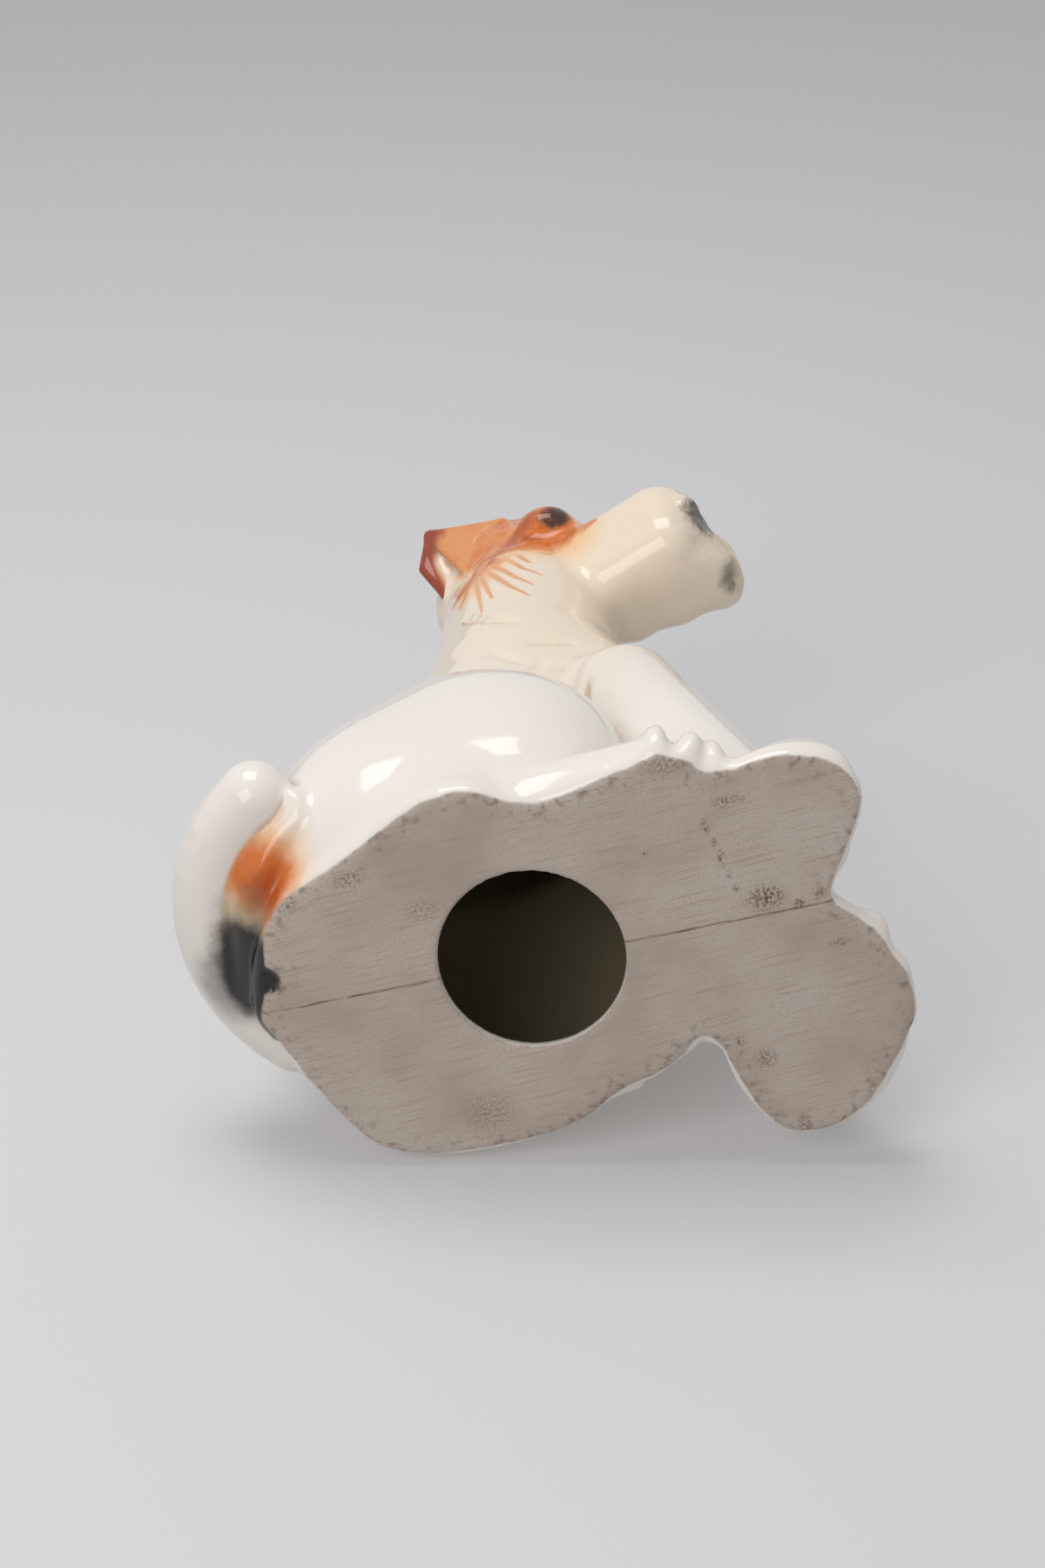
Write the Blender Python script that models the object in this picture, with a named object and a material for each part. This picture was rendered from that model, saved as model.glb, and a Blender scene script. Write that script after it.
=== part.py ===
# Seated terrier figurine in glazed porcelain, hollow, about 205 mm tall.
# The dog faces -Y, its left side is +X and its unglazed base rests on z = 0.
# Pressed body halves meet on a seam along the middle of the base. The head is pressed
# in two halves of its own, turned to the dog's right, and is set on the neck.
# The ears and the tail are shaped apart and stuck on. All sizes are in metres.
import math

import bmesh
import bpy
from mathutils import Euler, Matrix, Vector

# Ware
WALL = 0.0045
BASE_FLOOR = 0.0045
JOINT_GAP = 0.0003
NECK_JOINT_HEIGHT = 0.142
HOLE_WIDTH = 0.043
HOLE_LENGTH = 0.040

# Rump and trunk, as half sizes and places
RUMP_HALF_WIDTH = 0.035
RUMP_HALF_LENGTH = 0.035
RUMP_HALF_HEIGHT = 0.040
RUMP_Y = 0.026
RUMP_Z = 0.028
TRUNK_LOW_RADIUS = 0.030
TRUNK_TOP_RADIUS = 0.025
TRUNK_LOW = (0, 0.018, 0.056)
TRUNK_TOP = (-0.001, 0, 0.116)
CHEST_HALF = (0.023, 0.029, 0.036)
CHEST_PLACE = (0, -0.0145, 0.090)
NECK_TOP_RADIUS = 0.021
NECK_TOP = (-0.004, 0, 0.160)
APRON_HALF = (0.031, 0.040, 0.026)
APRON_PLACE = (0, -0.024, 0.006)
WEB_HALF = (0.022, 0.029, 0.050)
WEB_PLACE = (0, -0.021, 0.046)
REAR_HALF = (0.024, 0.019, 0.020)
REAR_PLACE = (0, 0.042, 0.004)

# Hind legs, the same on both sides, and the hind feet, which differ
THIGH_HALF = (0.024, 0.034, 0.038)
THIGH_X = 0.023
THIGH_Y = 0.008
THIGH_Z = 0.038
THIGH_LEAN = 22
THIGH_SPLAY = 6
BUTTOCK_HALF = (0.026, 0.028, 0.030)
BUTTOCK_X = 0.020
BUTTOCK_Y = 0.027
BUTTOCK_Z = 0.028
RIGHT_SKIRT_HALF = (0.014, 0.017, 0.016)
RIGHT_SKIRT = (-0.029, 0.010, 0.006)
LEFT_SKIRT_HALF = (0.0145, 0.024, 0.018)
LEFT_SKIRT = (0.031, 0.020, 0.006)
HIND_HEEL_RADIUS = 0.009
HIND_FOOT_RADIUS = 0.008
RIGHT_HEEL = (-0.031, -0.006, 0.009)
RIGHT_HIND_FOOT = (-0.034, -0.032, 0.007)
LEFT_HEEL = (0.032, 0.002, 0.009)
LEFT_HIND_FOOT = (0.030, -0.014, 0.007)

# Front legs and paws
SHOULDER_RADIUS = 0.0145
WRIST_RADIUS = 0.0115
SHOULDER_X = 0.014
SHOULDER_Y = -0.0255
SHOULDER_Z = 0.084
RIGHT_WRIST = (-0.018, -0.050, 0.014)
LEFT_WRIST = (0.034, -0.052, 0.014)
RIGHT_PAW_HALF = (0.0145, 0.013, 0.013)
RIGHT_PAW = (-0.020, -0.060, 0.005)
LEFT_PAW_HALF = (0.021, 0.019, 0.016)
LEFT_PAW = (0.036, -0.055, 0.004)
LEFT_PAW_ROOT_HALF = (0.014, 0.013, 0.016)
LEFT_PAW_ROOT = (0.014, -0.056, 0.004)

# Toes: half sizes, the middle of each row and its turn in degrees
HIND_TOE_HALF = (0.0034, 0.0075, 0.0072)
FRONT_TOE_HALF = (0.0052, 0.0095, 0.0085)
TOE_OVERLAP = 0.0006
TOE_STEP_BACK = 0.0015
TOE_COUNT = 3
RIGHT_HIND_TOES = (-0.0356, -0.0408, 0.0070)
RIGHT_HIND_TURN = -60
LEFT_HIND_TOES = (0.0322, -0.0165, 0.0070)
LEFT_HIND_TURN = 35
RIGHT_FRONT_TOES = (-0.0200, -0.0640, 0.0060)
RIGHT_FRONT_TURN = 8
LEFT_FRONT_TOES = (0.0215, -0.0675, 0.0060)
LEFT_FRONT_TURN = -2

# Foot: the outline that the base is sanded flat to, as x and y, and how far up the clay follows it
SOLE_HEIGHT = 0.006
FOOTPRINT = (
    (0.0015, 0.0599), (-0.0031, 0.0576), (-0.0099, 0.0556), (-0.0182, 0.0539),
    (-0.0228, 0.0512), (-0.0266, 0.0479), (-0.0301, 0.0380), (-0.0349, 0.0283),
    (-0.0406, 0.0173), (-0.0430, 0.0084), (-0.0416, 0.0020), (-0.0382, -0.0022),
    (-0.0360, -0.0084), (-0.0367, -0.0152), (-0.0388, -0.0223), (-0.0400, -0.0292),
    (-0.0418, -0.0364), (-0.0390, -0.0412), (-0.0354, -0.0436), (-0.0345, -0.0466),
    (-0.0357, -0.0520), (-0.0365, -0.0578), (-0.0357, -0.0631), (-0.0337, -0.0681),
    (-0.0310, -0.0722), (-0.0273, -0.0750), (-0.0227, -0.0759), (-0.0187, -0.0739),
    (-0.0148, -0.0716), (-0.0061, -0.0664), (-0.0002, -0.0645), (0.0034, -0.0682),
    (0.0073, -0.0715), (0.0120, -0.0738), (0.0171, -0.0760), (0.0213, -0.0781),
    (0.0270, -0.0787), (0.0324, -0.0777), (0.0355, -0.0748), (0.0396, -0.0720),
    (0.0494, -0.0646), (0.0532, -0.0598), (0.0561, -0.0536), (0.0559, -0.0471),
    (0.0533, -0.0435), (0.0478, -0.0405), (0.0344, -0.0366), (0.0293, -0.0352),
    (0.0265, -0.0334), (0.0260, -0.0310), (0.0277, -0.0283), (0.0317, -0.0250),
    (0.0336, -0.0205), (0.0343, -0.0150), (0.0360, -0.0100), (0.0410, -0.0047),
    (0.0433, 0.0026), (0.0435, 0.0120), (0.0434, 0.0238), (0.0427, 0.0324),
    (0.0402, 0.0406), (0.0365, 0.0450), (0.0304, 0.0488), (0.0235, 0.0518),
    (0.0120, 0.0552), (0.0061, 0.0577),
)

# Head, in its own frame: x to its left, y to its nape, z to its crown
HEAD_PLACE = (-0.0046, -0.0022, 0.177)
HEAD_TURN = -14
HEAD_LEAN = -26
SKULL_HALF = (0.0175, 0.022, 0.022)
SKULL_PLACE = (0, 0.004, 0.003)
BROW_HALF = (0.015, 0.016, 0.014)
BROW_PLACE = (0, -0.008, 0.004)
CHEEK_HALF = (0.010, 0.016, 0.013)
CHEEK_X = 0.009
CHEEK_Y = 0
CHEEK_Z = -0.009
EYE_HALF = (0.0067, 0.0075, 0.0060)
EYE_X = 0.0115
EYE_Y = -0.0103
EYE_Z = 0.0099
MUZZLE_HALF = (0.0138, 0.0184, 0.0128)
MUZZLE_ROUNDING = 0.0055
MUZZLE_PLACE = (-0.0028, -0.0286, -0.0072)
MUZZLE_RISE = 5
MOUSTACHE_HALF = (0.0127, 0.0088, 0.0123)
MOUSTACHE_PLACE = (-0.0004, -0.0341, -0.0081)
BEARD_HALF = (0.0118, 0.0079, 0.0060)
BEARD_PLACE = (0.0026, -0.0452, -0.0157)
LIP_HALF = (0.0111, 0.0093, 0.0055)
LIP_PLACE = (0.0008, -0.0435, -0.0112)
NOSE_HALF = (0.0066, 0.0050, 0.0048)
NOSE_PLACE = (0, -0.0438, 0.0034)

# Ears, as corners in the head's frame: a standing leaf, and a flap folded over from its top
EAR_THICKNESS = 0.004
EAR_FOLD_REAR = (0.0154, 0.0185, 0.0219)
EAR_FOLD_FRONT = (0.0108, 0.0005, 0.0191)
EAR_BULGE = (0.0148, 0.0225, 0.0125)
EAR_ROOT_REAR = (0.0115, 0.0165, -0.0040)
EAR_ROOT_FRONT = (0.0090, 0.0050, 0.0100)
EAR_FLAP_TIP = (0.0185, 0.0104, 0.0015)

# Tail, curled low round the rump towards the dog's right
TAIL_ROOT_RADIUS = 0.0110
TAIL_TIP_RADIUS = 0.0090
TAIL_POINTS = (
    (0.006, 0.064, 0.016),
    (-0.012, 0.0675, 0.018),
    (-0.030, 0.0625, 0.019),
    (-0.0415, 0.0535, 0.0195),
)

# Fineness of the sculpted surfaces
CLAY_GRAIN = 0.002
EAR_GRAIN = 0.001
SMOOTH_PASSES = 12
EAR_SMOOTH_PASSES = 4
SKIN_KEEP = 0.13
CAVITY_KEEP = 0.05
SMALL_KEEP = 0.22
EAR_KEEP = 0.14
BALL_STEPS = 3
BEVEL_STEPS = 4
BEVEL_SHARE = 0.9
HOLE_SIDES = 48
CUTTER_MARGIN = 0.005
SLAB_REACH = 0.4

WHITE_GLAZE = (0.86, 0.83, 0.78, 1)
TAN_GLAZE = (0.55, 0.20, 0.07, 1)
GLAZE_ROUGHNESS = 0.15


def clear_scene():
    for thing in list(bpy.data.objects):
        bpy.data.objects.remove(thing, do_unlink=True)


def egg(clay, centre, half, turn=(0, 0, 0), shrink=0.0):
    """Adds an ellipsoid of the given half sizes, turned by degrees about x, y and z."""
    sizes = Vector([length - shrink for length in half])
    if min(sizes) <= 0:
        return
    angles = Euler([math.radians(angle) for angle in turn])
    place = Matrix.LocRotScale(Vector(centre), angles, sizes)
    bmesh.ops.create_icosphere(clay, subdivisions=BALL_STEPS, radius=1, matrix=place)


def limb(clay, start, end, start_radius, end_radius, shrink=0.0):
    """Adds the tapered form that two balls and the skin stretched over them make."""
    roll = bmesh.new()
    for centre, radius in ((start, start_radius), (end, end_radius)):
        place = Matrix.Translation(Vector(centre))
        bmesh.ops.create_icosphere(roll, subdivisions=BALL_STEPS, radius=radius - shrink, matrix=place)
    stretch(roll)
    add_to(clay, roll)


def leaf(clay, corners, thickness):
    """Adds a flat leaf with round edges: the skin stretched over a ball at each corner."""
    sheet = bmesh.new()
    for corner in corners:
        place = Matrix.Translation(Vector(corner))
        bmesh.ops.create_icosphere(sheet, subdivisions=BALL_STEPS, radius=thickness / 2, matrix=place)
    stretch(sheet)
    add_to(clay, sheet)


def block(clay, half, rounding, frame, shrink=0.0):
    """Adds a block with rounded edges, centred in the frame given."""
    brick = bmesh.new()
    sizes = [length - shrink for length in half]
    bmesh.ops.create_cube(brick, size=2, matrix=Matrix.Diagonal(sizes).to_4x4())
    offset = min(rounding, BEVEL_SHARE * min(sizes))
    bmesh.ops.bevel(
        brick, geom=list(brick.edges), offset=offset, segments=BEVEL_STEPS, profile=0.5, affect="EDGES"
    )
    bmesh.ops.transform(brick, matrix=frame, verts=brick.verts)
    add_to(clay, brick)


def stretch(balls):
    """Replaces loose balls by the skin stretched over them all."""
    hull = bmesh.ops.convex_hull(balls, input=balls.verts)
    inner = {item for item in hull["geom_interior"] if isinstance(item, bmesh.types.BMVert)}
    bmesh.ops.delete(balls, geom=list(inner), context="VERTS")


def add_to(clay, form):
    carrier = bpy.data.meshes.new("carrier")
    form.to_mesh(carrier)
    form.free()
    clay.from_mesh(carrier)
    bpy.data.meshes.remove(carrier)


def head_frame():
    """The head's place and turn: its own x, y and z axes in the figurine's frame."""
    turn = Matrix.Rotation(math.radians(HEAD_TURN), 4, "Z")
    lean = Matrix.Rotation(math.radians(HEAD_LEAN), 4, "Y")
    return Matrix.Translation(Vector(HEAD_PLACE)) @ turn @ lean


def trunk_forms(clay, shrink):
    """Rump, trunk, chest, neck and the mass between the legs, which the cavity follows."""
    egg(clay, (0, RUMP_Y, RUMP_Z), (RUMP_HALF_WIDTH, RUMP_HALF_LENGTH, RUMP_HALF_HEIGHT), shrink=shrink)
    limb(clay, TRUNK_LOW, TRUNK_TOP, TRUNK_LOW_RADIUS, TRUNK_TOP_RADIUS, shrink)
    egg(clay, CHEST_PLACE, CHEST_HALF, shrink=shrink)
    limb(clay, TRUNK_TOP, NECK_TOP, TRUNK_TOP_RADIUS, NECK_TOP_RADIUS, shrink)
    egg(clay, APRON_PLACE, APRON_HALF, shrink=shrink)
    egg(clay, WEB_PLACE, WEB_HALF, shrink=shrink)
    egg(clay, REAR_PLACE, REAR_HALF, shrink=shrink)
    egg(clay, RIGHT_SKIRT, RIGHT_SKIRT_HALF, shrink=shrink)
    egg(clay, LEFT_SKIRT, LEFT_SKIRT_HALF, shrink=shrink)
    for side in (-1, 1):
        thigh_turn = (-THIGH_LEAN, 0, side * THIGH_SPLAY)
        egg(clay, (side * THIGH_X, THIGH_Y, THIGH_Z), THIGH_HALF, thigh_turn, shrink)
        egg(clay, (side * BUTTOCK_X, BUTTOCK_Y, BUTTOCK_Z), BUTTOCK_HALF, shrink=shrink)


def toes(clay, middle, along, count, half):
    """Lays toes side by side on a line turned by degrees, the middle ones furthest forward."""
    across = Vector((math.cos(math.radians(along)), math.sin(math.radians(along)), 0))
    pitch = 2 * half[0] - TOE_OVERLAP
    for number in range(count):
        offset = number - (count - 1) / 2
        centre = Vector(middle) + across * offset * pitch
        centre.y += abs(offset) * TOE_STEP_BACK
        egg(clay, centre, half, (0, 0, along))


def leg_forms(clay):
    """Solid legs and paws: the left front paw is splayed out to the side."""
    limb(clay, RIGHT_HEEL, RIGHT_HIND_FOOT, HIND_HEEL_RADIUS, HIND_FOOT_RADIUS)
    limb(clay, LEFT_HEEL, LEFT_HIND_FOOT, HIND_HEEL_RADIUS, HIND_FOOT_RADIUS)
    limb(clay, RIGHT_WRIST, (-SHOULDER_X, SHOULDER_Y, SHOULDER_Z), WRIST_RADIUS, SHOULDER_RADIUS)
    limb(clay, LEFT_WRIST, (SHOULDER_X, SHOULDER_Y, SHOULDER_Z), WRIST_RADIUS, SHOULDER_RADIUS)
    egg(clay, RIGHT_PAW, RIGHT_PAW_HALF)
    egg(clay, LEFT_PAW, LEFT_PAW_HALF)
    egg(clay, LEFT_PAW_ROOT, LEFT_PAW_ROOT_HALF)
    toes(clay, RIGHT_HIND_TOES, RIGHT_HIND_TURN, TOE_COUNT, HIND_TOE_HALF)
    toes(clay, LEFT_HIND_TOES, LEFT_HIND_TURN, TOE_COUNT, HIND_TOE_HALF)
    toes(clay, RIGHT_FRONT_TOES, RIGHT_FRONT_TURN, TOE_COUNT, FRONT_TOE_HALF)
    toes(clay, LEFT_FRONT_TOES, LEFT_FRONT_TURN, TOE_COUNT, FRONT_TOE_HALF)


def sole_form(clay):
    """The plate of clay that the foot is sanded to, from below the base up to the paws' tops."""
    plate = bmesh.new()
    face = plate.faces.new([plate.verts.new((x, y, -SOLE_HEIGHT)) for x, y in FOOTPRINT])
    raised = bmesh.ops.extrude_face_region(plate, geom=[face])["geom"]
    for item in raised:
        if isinstance(item, bmesh.types.BMVert):
            item.co.z = SOLE_HEIGHT
    bmesh.ops.recalc_face_normals(plate, faces=plate.faces)
    add_to(clay, plate)


def skull_forms(clay, shrink):
    """Skull, brow, cheeks, muzzle, moustache and beard, which the head's cavity follows."""
    frame = head_frame()
    turn = [math.degrees(angle) for angle in frame.to_euler()]
    egg(clay, frame @ Vector(SKULL_PLACE), SKULL_HALF, turn, shrink)
    egg(clay, frame @ Vector(BROW_PLACE), BROW_HALF, turn, shrink)
    egg(clay, frame @ Vector(BEARD_PLACE), BEARD_HALF, turn, shrink)
    for side in (-1, 1):
        egg(clay, frame @ Vector((side * CHEEK_X, CHEEK_Y, CHEEK_Z)), CHEEK_HALF, turn, shrink)
    rise = Matrix.Rotation(math.radians(-MUZZLE_RISE), 4, "X")
    for half, place in ((MUZZLE_HALF, MUZZLE_PLACE), (MOUSTACHE_HALF, MOUSTACHE_PLACE)):
        block(clay, half, MUZZLE_ROUNDING, frame @ Matrix.Translation(Vector(place)) @ rise, shrink)


def face_forms(clay):
    """Eyes under their brows, nose and upper lip, raised on the head."""
    frame = head_frame()
    turn = [math.degrees(angle) for angle in frame.to_euler()]
    egg(clay, frame @ Vector(NOSE_PLACE), NOSE_HALF, turn)
    egg(clay, frame @ Vector(LIP_PLACE), LIP_HALF, turn)
    for side in (-1, 1):
        egg(clay, frame @ Vector((side * EYE_X, EYE_Y, EYE_Z)), EYE_HALF, turn)


def ear_forms(clay, side):
    """The standing leaf of an ear and the flap that folds down from its top."""
    frame = head_frame() @ Matrix.Diagonal((side, 1, 1, 1))
    fold = [frame @ Vector(EAR_FOLD_REAR), frame @ Vector(EAR_FOLD_FRONT)]
    roots = [frame @ Vector(corner) for corner in (EAR_BULGE, EAR_ROOT_REAR, EAR_ROOT_FRONT)]
    leaf(clay, fold + roots, EAR_THICKNESS)
    leaf(clay, fold + [frame @ Vector(EAR_FLAP_TIP)], EAR_THICKNESS)


def tail_forms(clay):
    spans = len(TAIL_POINTS) - 1
    for span in range(spans):
        near = TAIL_ROOT_RADIUS + (TAIL_TIP_RADIUS - TAIL_ROOT_RADIUS) * span / spans
        far = TAIL_ROOT_RADIUS + (TAIL_TIP_RADIUS - TAIL_ROOT_RADIUS) * (span + 1) / spans
        limb(clay, TAIL_POINTS[span], TAIL_POINTS[span + 1], near, far)


def worked(name, clay, keep, grain=CLAY_GRAIN, passes=SMOOTH_PASSES):
    """Presses the overlapping forms into one smooth closed skin and returns it as a mesh."""
    rough = bpy.data.meshes.new(name)
    clay.to_mesh(rough)
    clay.free()
    lump = bpy.data.objects.new(name, rough)
    bpy.context.collection.objects.link(lump)
    press = lump.modifiers.new("press", "REMESH")
    press.mode = "VOXEL"
    press.voxel_size = grain
    sponge = lump.modifiers.new("sponge", "SMOOTH")
    sponge.factor = 0.5
    sponge.iterations = passes
    facets = lump.modifiers.new("facets", "DECIMATE")
    facets.ratio = keep
    depsgraph = bpy.context.evaluated_depsgraph_get()
    skin = bpy.data.meshes.new_from_object(lump.evaluated_get(depsgraph))
    skin.name = name
    bpy.data.objects.remove(lump)
    bpy.data.meshes.remove(rough)
    return skin


def grown(skin, distance):
    """A copy of a skin moved outwards along its normals."""
    copy = skin.copy()
    moved = [vertex.co + vertex.normal * distance for vertex in skin.vertices]
    for vertex, place in zip(copy.vertices, moved):
        vertex.co = place
    return copy


def guide(name, mesh):
    """An object that only cuts others."""
    cutter = bpy.data.objects.new(name, mesh)
    cutter.display_type = "WIRE"
    cutter.hide_render = True
    bpy.context.collection.objects.link(cutter)
    return cutter


def slab(name, low, high, frame=None):
    """A cutting block between two corners, in the frame given."""
    middle = (Vector(low) + Vector(high)) / 2
    size = Vector(high) - Vector(low)
    brick = bmesh.new()
    bmesh.ops.create_cube(brick, size=1, matrix=Matrix.LocRotScale(middle, None, size))
    if frame:
        bmesh.ops.transform(brick, matrix=frame, verts=brick.verts)
    mesh = bpy.data.meshes.new(name)
    brick.to_mesh(mesh)
    brick.free()
    return guide(name, mesh)


def cut(piece, cutter, operation):
    step = piece.modifiers.new(cutter.name, "BOOLEAN")
    step.operation = operation
    step.object = cutter
    step.solver = "EXACT"


def glaze(name, colour):
    material = bpy.data.materials.new(name)
    material.use_nodes = True
    shader = material.node_tree.nodes["Principled BSDF"]
    shader.inputs["Base Color"].default_value = colour
    shader.inputs["Roughness"].default_value = GLAZE_ROUGHNESS
    shader.inputs["Metallic"].default_value = 0
    return material


def piece(name, mesh, colour):
    """A part of the figurine, with a mesh of its own and its glaze."""
    body = bpy.data.objects.new(name, mesh.copy())
    body.data.materials.clear()
    body.data.materials.append(glaze(name + "_glaze", colour))
    body.data.shade_smooth()
    bpy.context.collection.objects.link(body)
    return body


def make_skin():
    clay = bmesh.new()
    trunk_forms(clay, 0)
    leg_forms(clay)
    sole_form(clay)
    skull_forms(clay, 0)
    face_forms(clay)
    return worked("skin", clay, SKIN_KEEP)


def make_cavity():
    """The hollow inside, one wall's thickness under the skin, above the floor of the base."""
    clay = bmesh.new()
    trunk_forms(clay, WALL)
    skull_forms(clay, WALL)
    cavity = guide("cavity", worked("cavity", clay, CAVITY_KEEP))
    above_floor = slab("above_floor", (-SLAB_REACH, -SLAB_REACH, BASE_FLOOR), (SLAB_REACH,) * 3)
    cut(cavity, above_floor, "INTERSECT")
    return cavity


def make_base_hole():
    """The oval hole cut through the floor of the base, by a cutter longer than the floor is thick."""
    hole = bmesh.new()
    oval = Matrix.Diagonal((HOLE_WIDTH / 2, HOLE_LENGTH / 2, BASE_FLOOR + CUTTER_MARGIN, 1))
    bmesh.ops.create_cone(
        hole, cap_ends=True, segments=HOLE_SIDES, radius1=1, radius2=1, depth=2, matrix=oval
    )
    mesh = bpy.data.meshes.new("base_hole")
    hole.to_mesh(mesh)
    hole.free()
    return guide("base_hole", mesh)


def make_body(skin, cavity, base_hole):
    """Two pressed halves, luted along the middle of the base and of the back."""
    top = NECK_JOINT_HEIGHT - JOINT_GAP / 2
    for side, name in ((-1, "body_right_half"), (1, "body_left_half")):
        half = piece(name, skin, WHITE_GLAZE)
        inner = side * JOINT_GAP / 2
        outer = side * SLAB_REACH
        low = (min(inner, outer), -SLAB_REACH, 0)
        high = (max(inner, outer), SLAB_REACH, top)
        cut(half, slab(name + "_mould", low, high), "INTERSECT")
        cut(half, cavity, "DIFFERENCE")
        cut(half, base_hole, "DIFFERENCE")


def make_head(skin, cavity):
    """Two pressed halves, luted on the head's own middle and set on the neck."""
    above_neck = slab(
        "above_neck",
        (-SLAB_REACH, -SLAB_REACH, NECK_JOINT_HEIGHT + JOINT_GAP / 2),
        (SLAB_REACH,) * 3,
    )
    for side, name in ((-1, "head_right_half"), (1, "head_left_half")):
        half = piece(name, skin, WHITE_GLAZE)
        cut(half, above_neck, "INTERSECT")
        inner = side * JOINT_GAP / 2
        outer = side * SLAB_REACH
        low = (min(inner, outer), -SLAB_REACH, -SLAB_REACH)
        high = (max(inner, outer), SLAB_REACH, SLAB_REACH)
        cut(half, slab(name + "_mould", low, high, head_frame()), "INTERSECT")
        cut(half, cavity, "DIFFERENCE")


def make_ears(seat):
    for side, name in ((-1, "right_ear"), (1, "left_ear")):
        clay = bmesh.new()
        ear_forms(clay, side)
        ear = piece(name, worked(name, clay, EAR_KEEP, EAR_GRAIN, EAR_SMOOTH_PASSES), TAN_GLAZE)
        cut(ear, seat, "DIFFERENCE")


def make_tail(seat):
    clay = bmesh.new()
    tail_forms(clay)
    tail = piece("tail", worked("tail", clay, SMALL_KEEP), WHITE_GLAZE)
    cut(tail, seat, "DIFFERENCE")


def stand_on_origin():
    """Moves the figurine and its cutters together: box middle over the origin, base on z = 0."""
    depsgraph = bpy.context.evaluated_depsgraph_get()
    places = []
    for thing in bpy.data.objects:
        if not thing.hide_render:
            shape = thing.evaluated_get(depsgraph).to_mesh()
            places += [vertex.co.copy() for vertex in shape.vertices]
    middle = Vector([(min(axis) + max(axis)) / 2 for axis in zip(*places)])
    lowest = min(place.z for place in places)
    for thing in bpy.data.objects:
        thing.location = (-middle.x, -middle.y, -lowest)


clear_scene()
dog_skin = make_skin()
dog_cavity = make_cavity()
make_body(dog_skin, dog_cavity, make_base_hole())
make_head(dog_skin, dog_cavity)
skin_and_gap = guide("skin_and_gap", grown(dog_skin, JOINT_GAP))
make_ears(skin_and_gap)
make_tail(skin_and_gap)
stand_on_origin()
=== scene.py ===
import math
from itertools import product

import bpy
import numpy as np
from mathutils import Euler, Matrix, Vector


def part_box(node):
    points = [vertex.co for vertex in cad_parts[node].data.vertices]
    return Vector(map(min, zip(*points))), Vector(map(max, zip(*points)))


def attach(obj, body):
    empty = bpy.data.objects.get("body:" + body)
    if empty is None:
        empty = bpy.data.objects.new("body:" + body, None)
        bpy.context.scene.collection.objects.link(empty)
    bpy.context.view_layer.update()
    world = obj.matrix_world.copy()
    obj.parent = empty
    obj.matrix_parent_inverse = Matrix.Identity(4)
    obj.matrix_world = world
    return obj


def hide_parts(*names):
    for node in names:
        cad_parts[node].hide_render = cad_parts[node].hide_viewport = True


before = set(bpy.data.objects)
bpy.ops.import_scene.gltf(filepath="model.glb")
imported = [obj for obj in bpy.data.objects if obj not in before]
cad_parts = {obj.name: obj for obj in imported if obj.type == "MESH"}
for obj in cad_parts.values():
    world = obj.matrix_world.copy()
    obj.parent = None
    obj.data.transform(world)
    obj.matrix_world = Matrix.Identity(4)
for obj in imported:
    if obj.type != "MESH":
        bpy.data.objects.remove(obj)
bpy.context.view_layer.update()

# Body: two halves of porcelain, pressed in a mould and luted along the middle of the back and
# of the base. The hollow follows the trunk one wall's thickness inside, the legs are solid, and
# an oval hole in the floor lets the kiln's heat out. Sizes are in metres, counted from that hole.
WALL = 0.0045
BASE_FLOOR = 0.0045
HOLE_HALF_WIDTH = 0.0215
HOLE_HALF_LENGTH = 0.02
HOLE_RIM = 0.0008
HOLE_LIP = 0.0022
HOLE_FLARE = 0.9
HOLE_OVERRUN = 0.002
FLOOR_FILLET = 0.003
FOOT_ROUNDING = 0.0018
NECK_JOINT_HEIGHT = 0.142
BODY_GRAIN = 0.0009
FAR_AWAY = 1.0
FORM_REACH = 0.014
SEAM_X = (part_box("body_right_half")[1][0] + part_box("body_left_half")[0][0]) / 2
HOLE_PLACE = Vector((SEAM_X, 0.0007, 0))


def blended(one, other, blend):
    """Two distances joined with a fillet."""
    share = np.clip(0.5 + 0.5 * (other - one) / blend, 0, 1)
    return other + (one - other) * share - blend * share * (1 - share)


def metres(sizes):
    """Sizes in metres, alone or in a nest, from whole tenths of a millimetre."""
    if isinstance(sizes, int):
        return sizes / 10000
    return tuple(metres(size) for size in sizes)


def turned(degrees):
    """The turn about x, then y, then z."""
    return np.array(Euler([math.radians(angle) for angle in degrees]).to_matrix())


class Clay:
    """Clay on a grid: every point holds its distance from the surface, negative inside."""

    def __init__(self, low, high, grain):
        self.low = np.array(low, float)
        self.grain = grain
        counts = np.ceil((np.array(high) - self.low) / grain).astype(int) + 1
        self.depth = np.full(counts, FAR_AWAY, np.float32)

    def axes(self, start, stop):
        lines = [self.low[k] + self.grain * np.arange(start[k], stop[k]) for k in range(3)]
        return np.meshgrid(*[line.astype(np.float32) for line in lines], indexing="ij", sparse=True)

    def everywhere(self):
        return self.axes((0, 0, 0), self.depth.shape)

    def work(self, low, high, distance, blend, taken=False):
        """Adds a form that lies between two corners, or takes it away."""
        start = np.floor((np.array(low) - FORM_REACH - self.low) / self.grain).astype(int)
        stop = np.ceil((np.array(high) + FORM_REACH - self.low) / self.grain).astype(int) + 1
        start, stop = np.clip((start, stop), 0, self.depth.shape)
        if (stop <= start).any():
            return
        place = tuple(slice(first, last) for first, last in zip(start, stop))
        form = distance(*self.axes(start, stop))
        if taken:
            self.depth[place] = -blended(-self.depth[place], form, blend)
        else:
            self.depth[place] = blended(self.depth[place], form, blend)


def own_directions(place, centre, spin):
    """Places counted from a form's centre, in the form's own directions."""
    away = [place[k] - centre[k] for k in range(3)]
    return [sum(float(spin[row, axis]) * away[row] for row in range(3)) for axis in range(3)]


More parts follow.
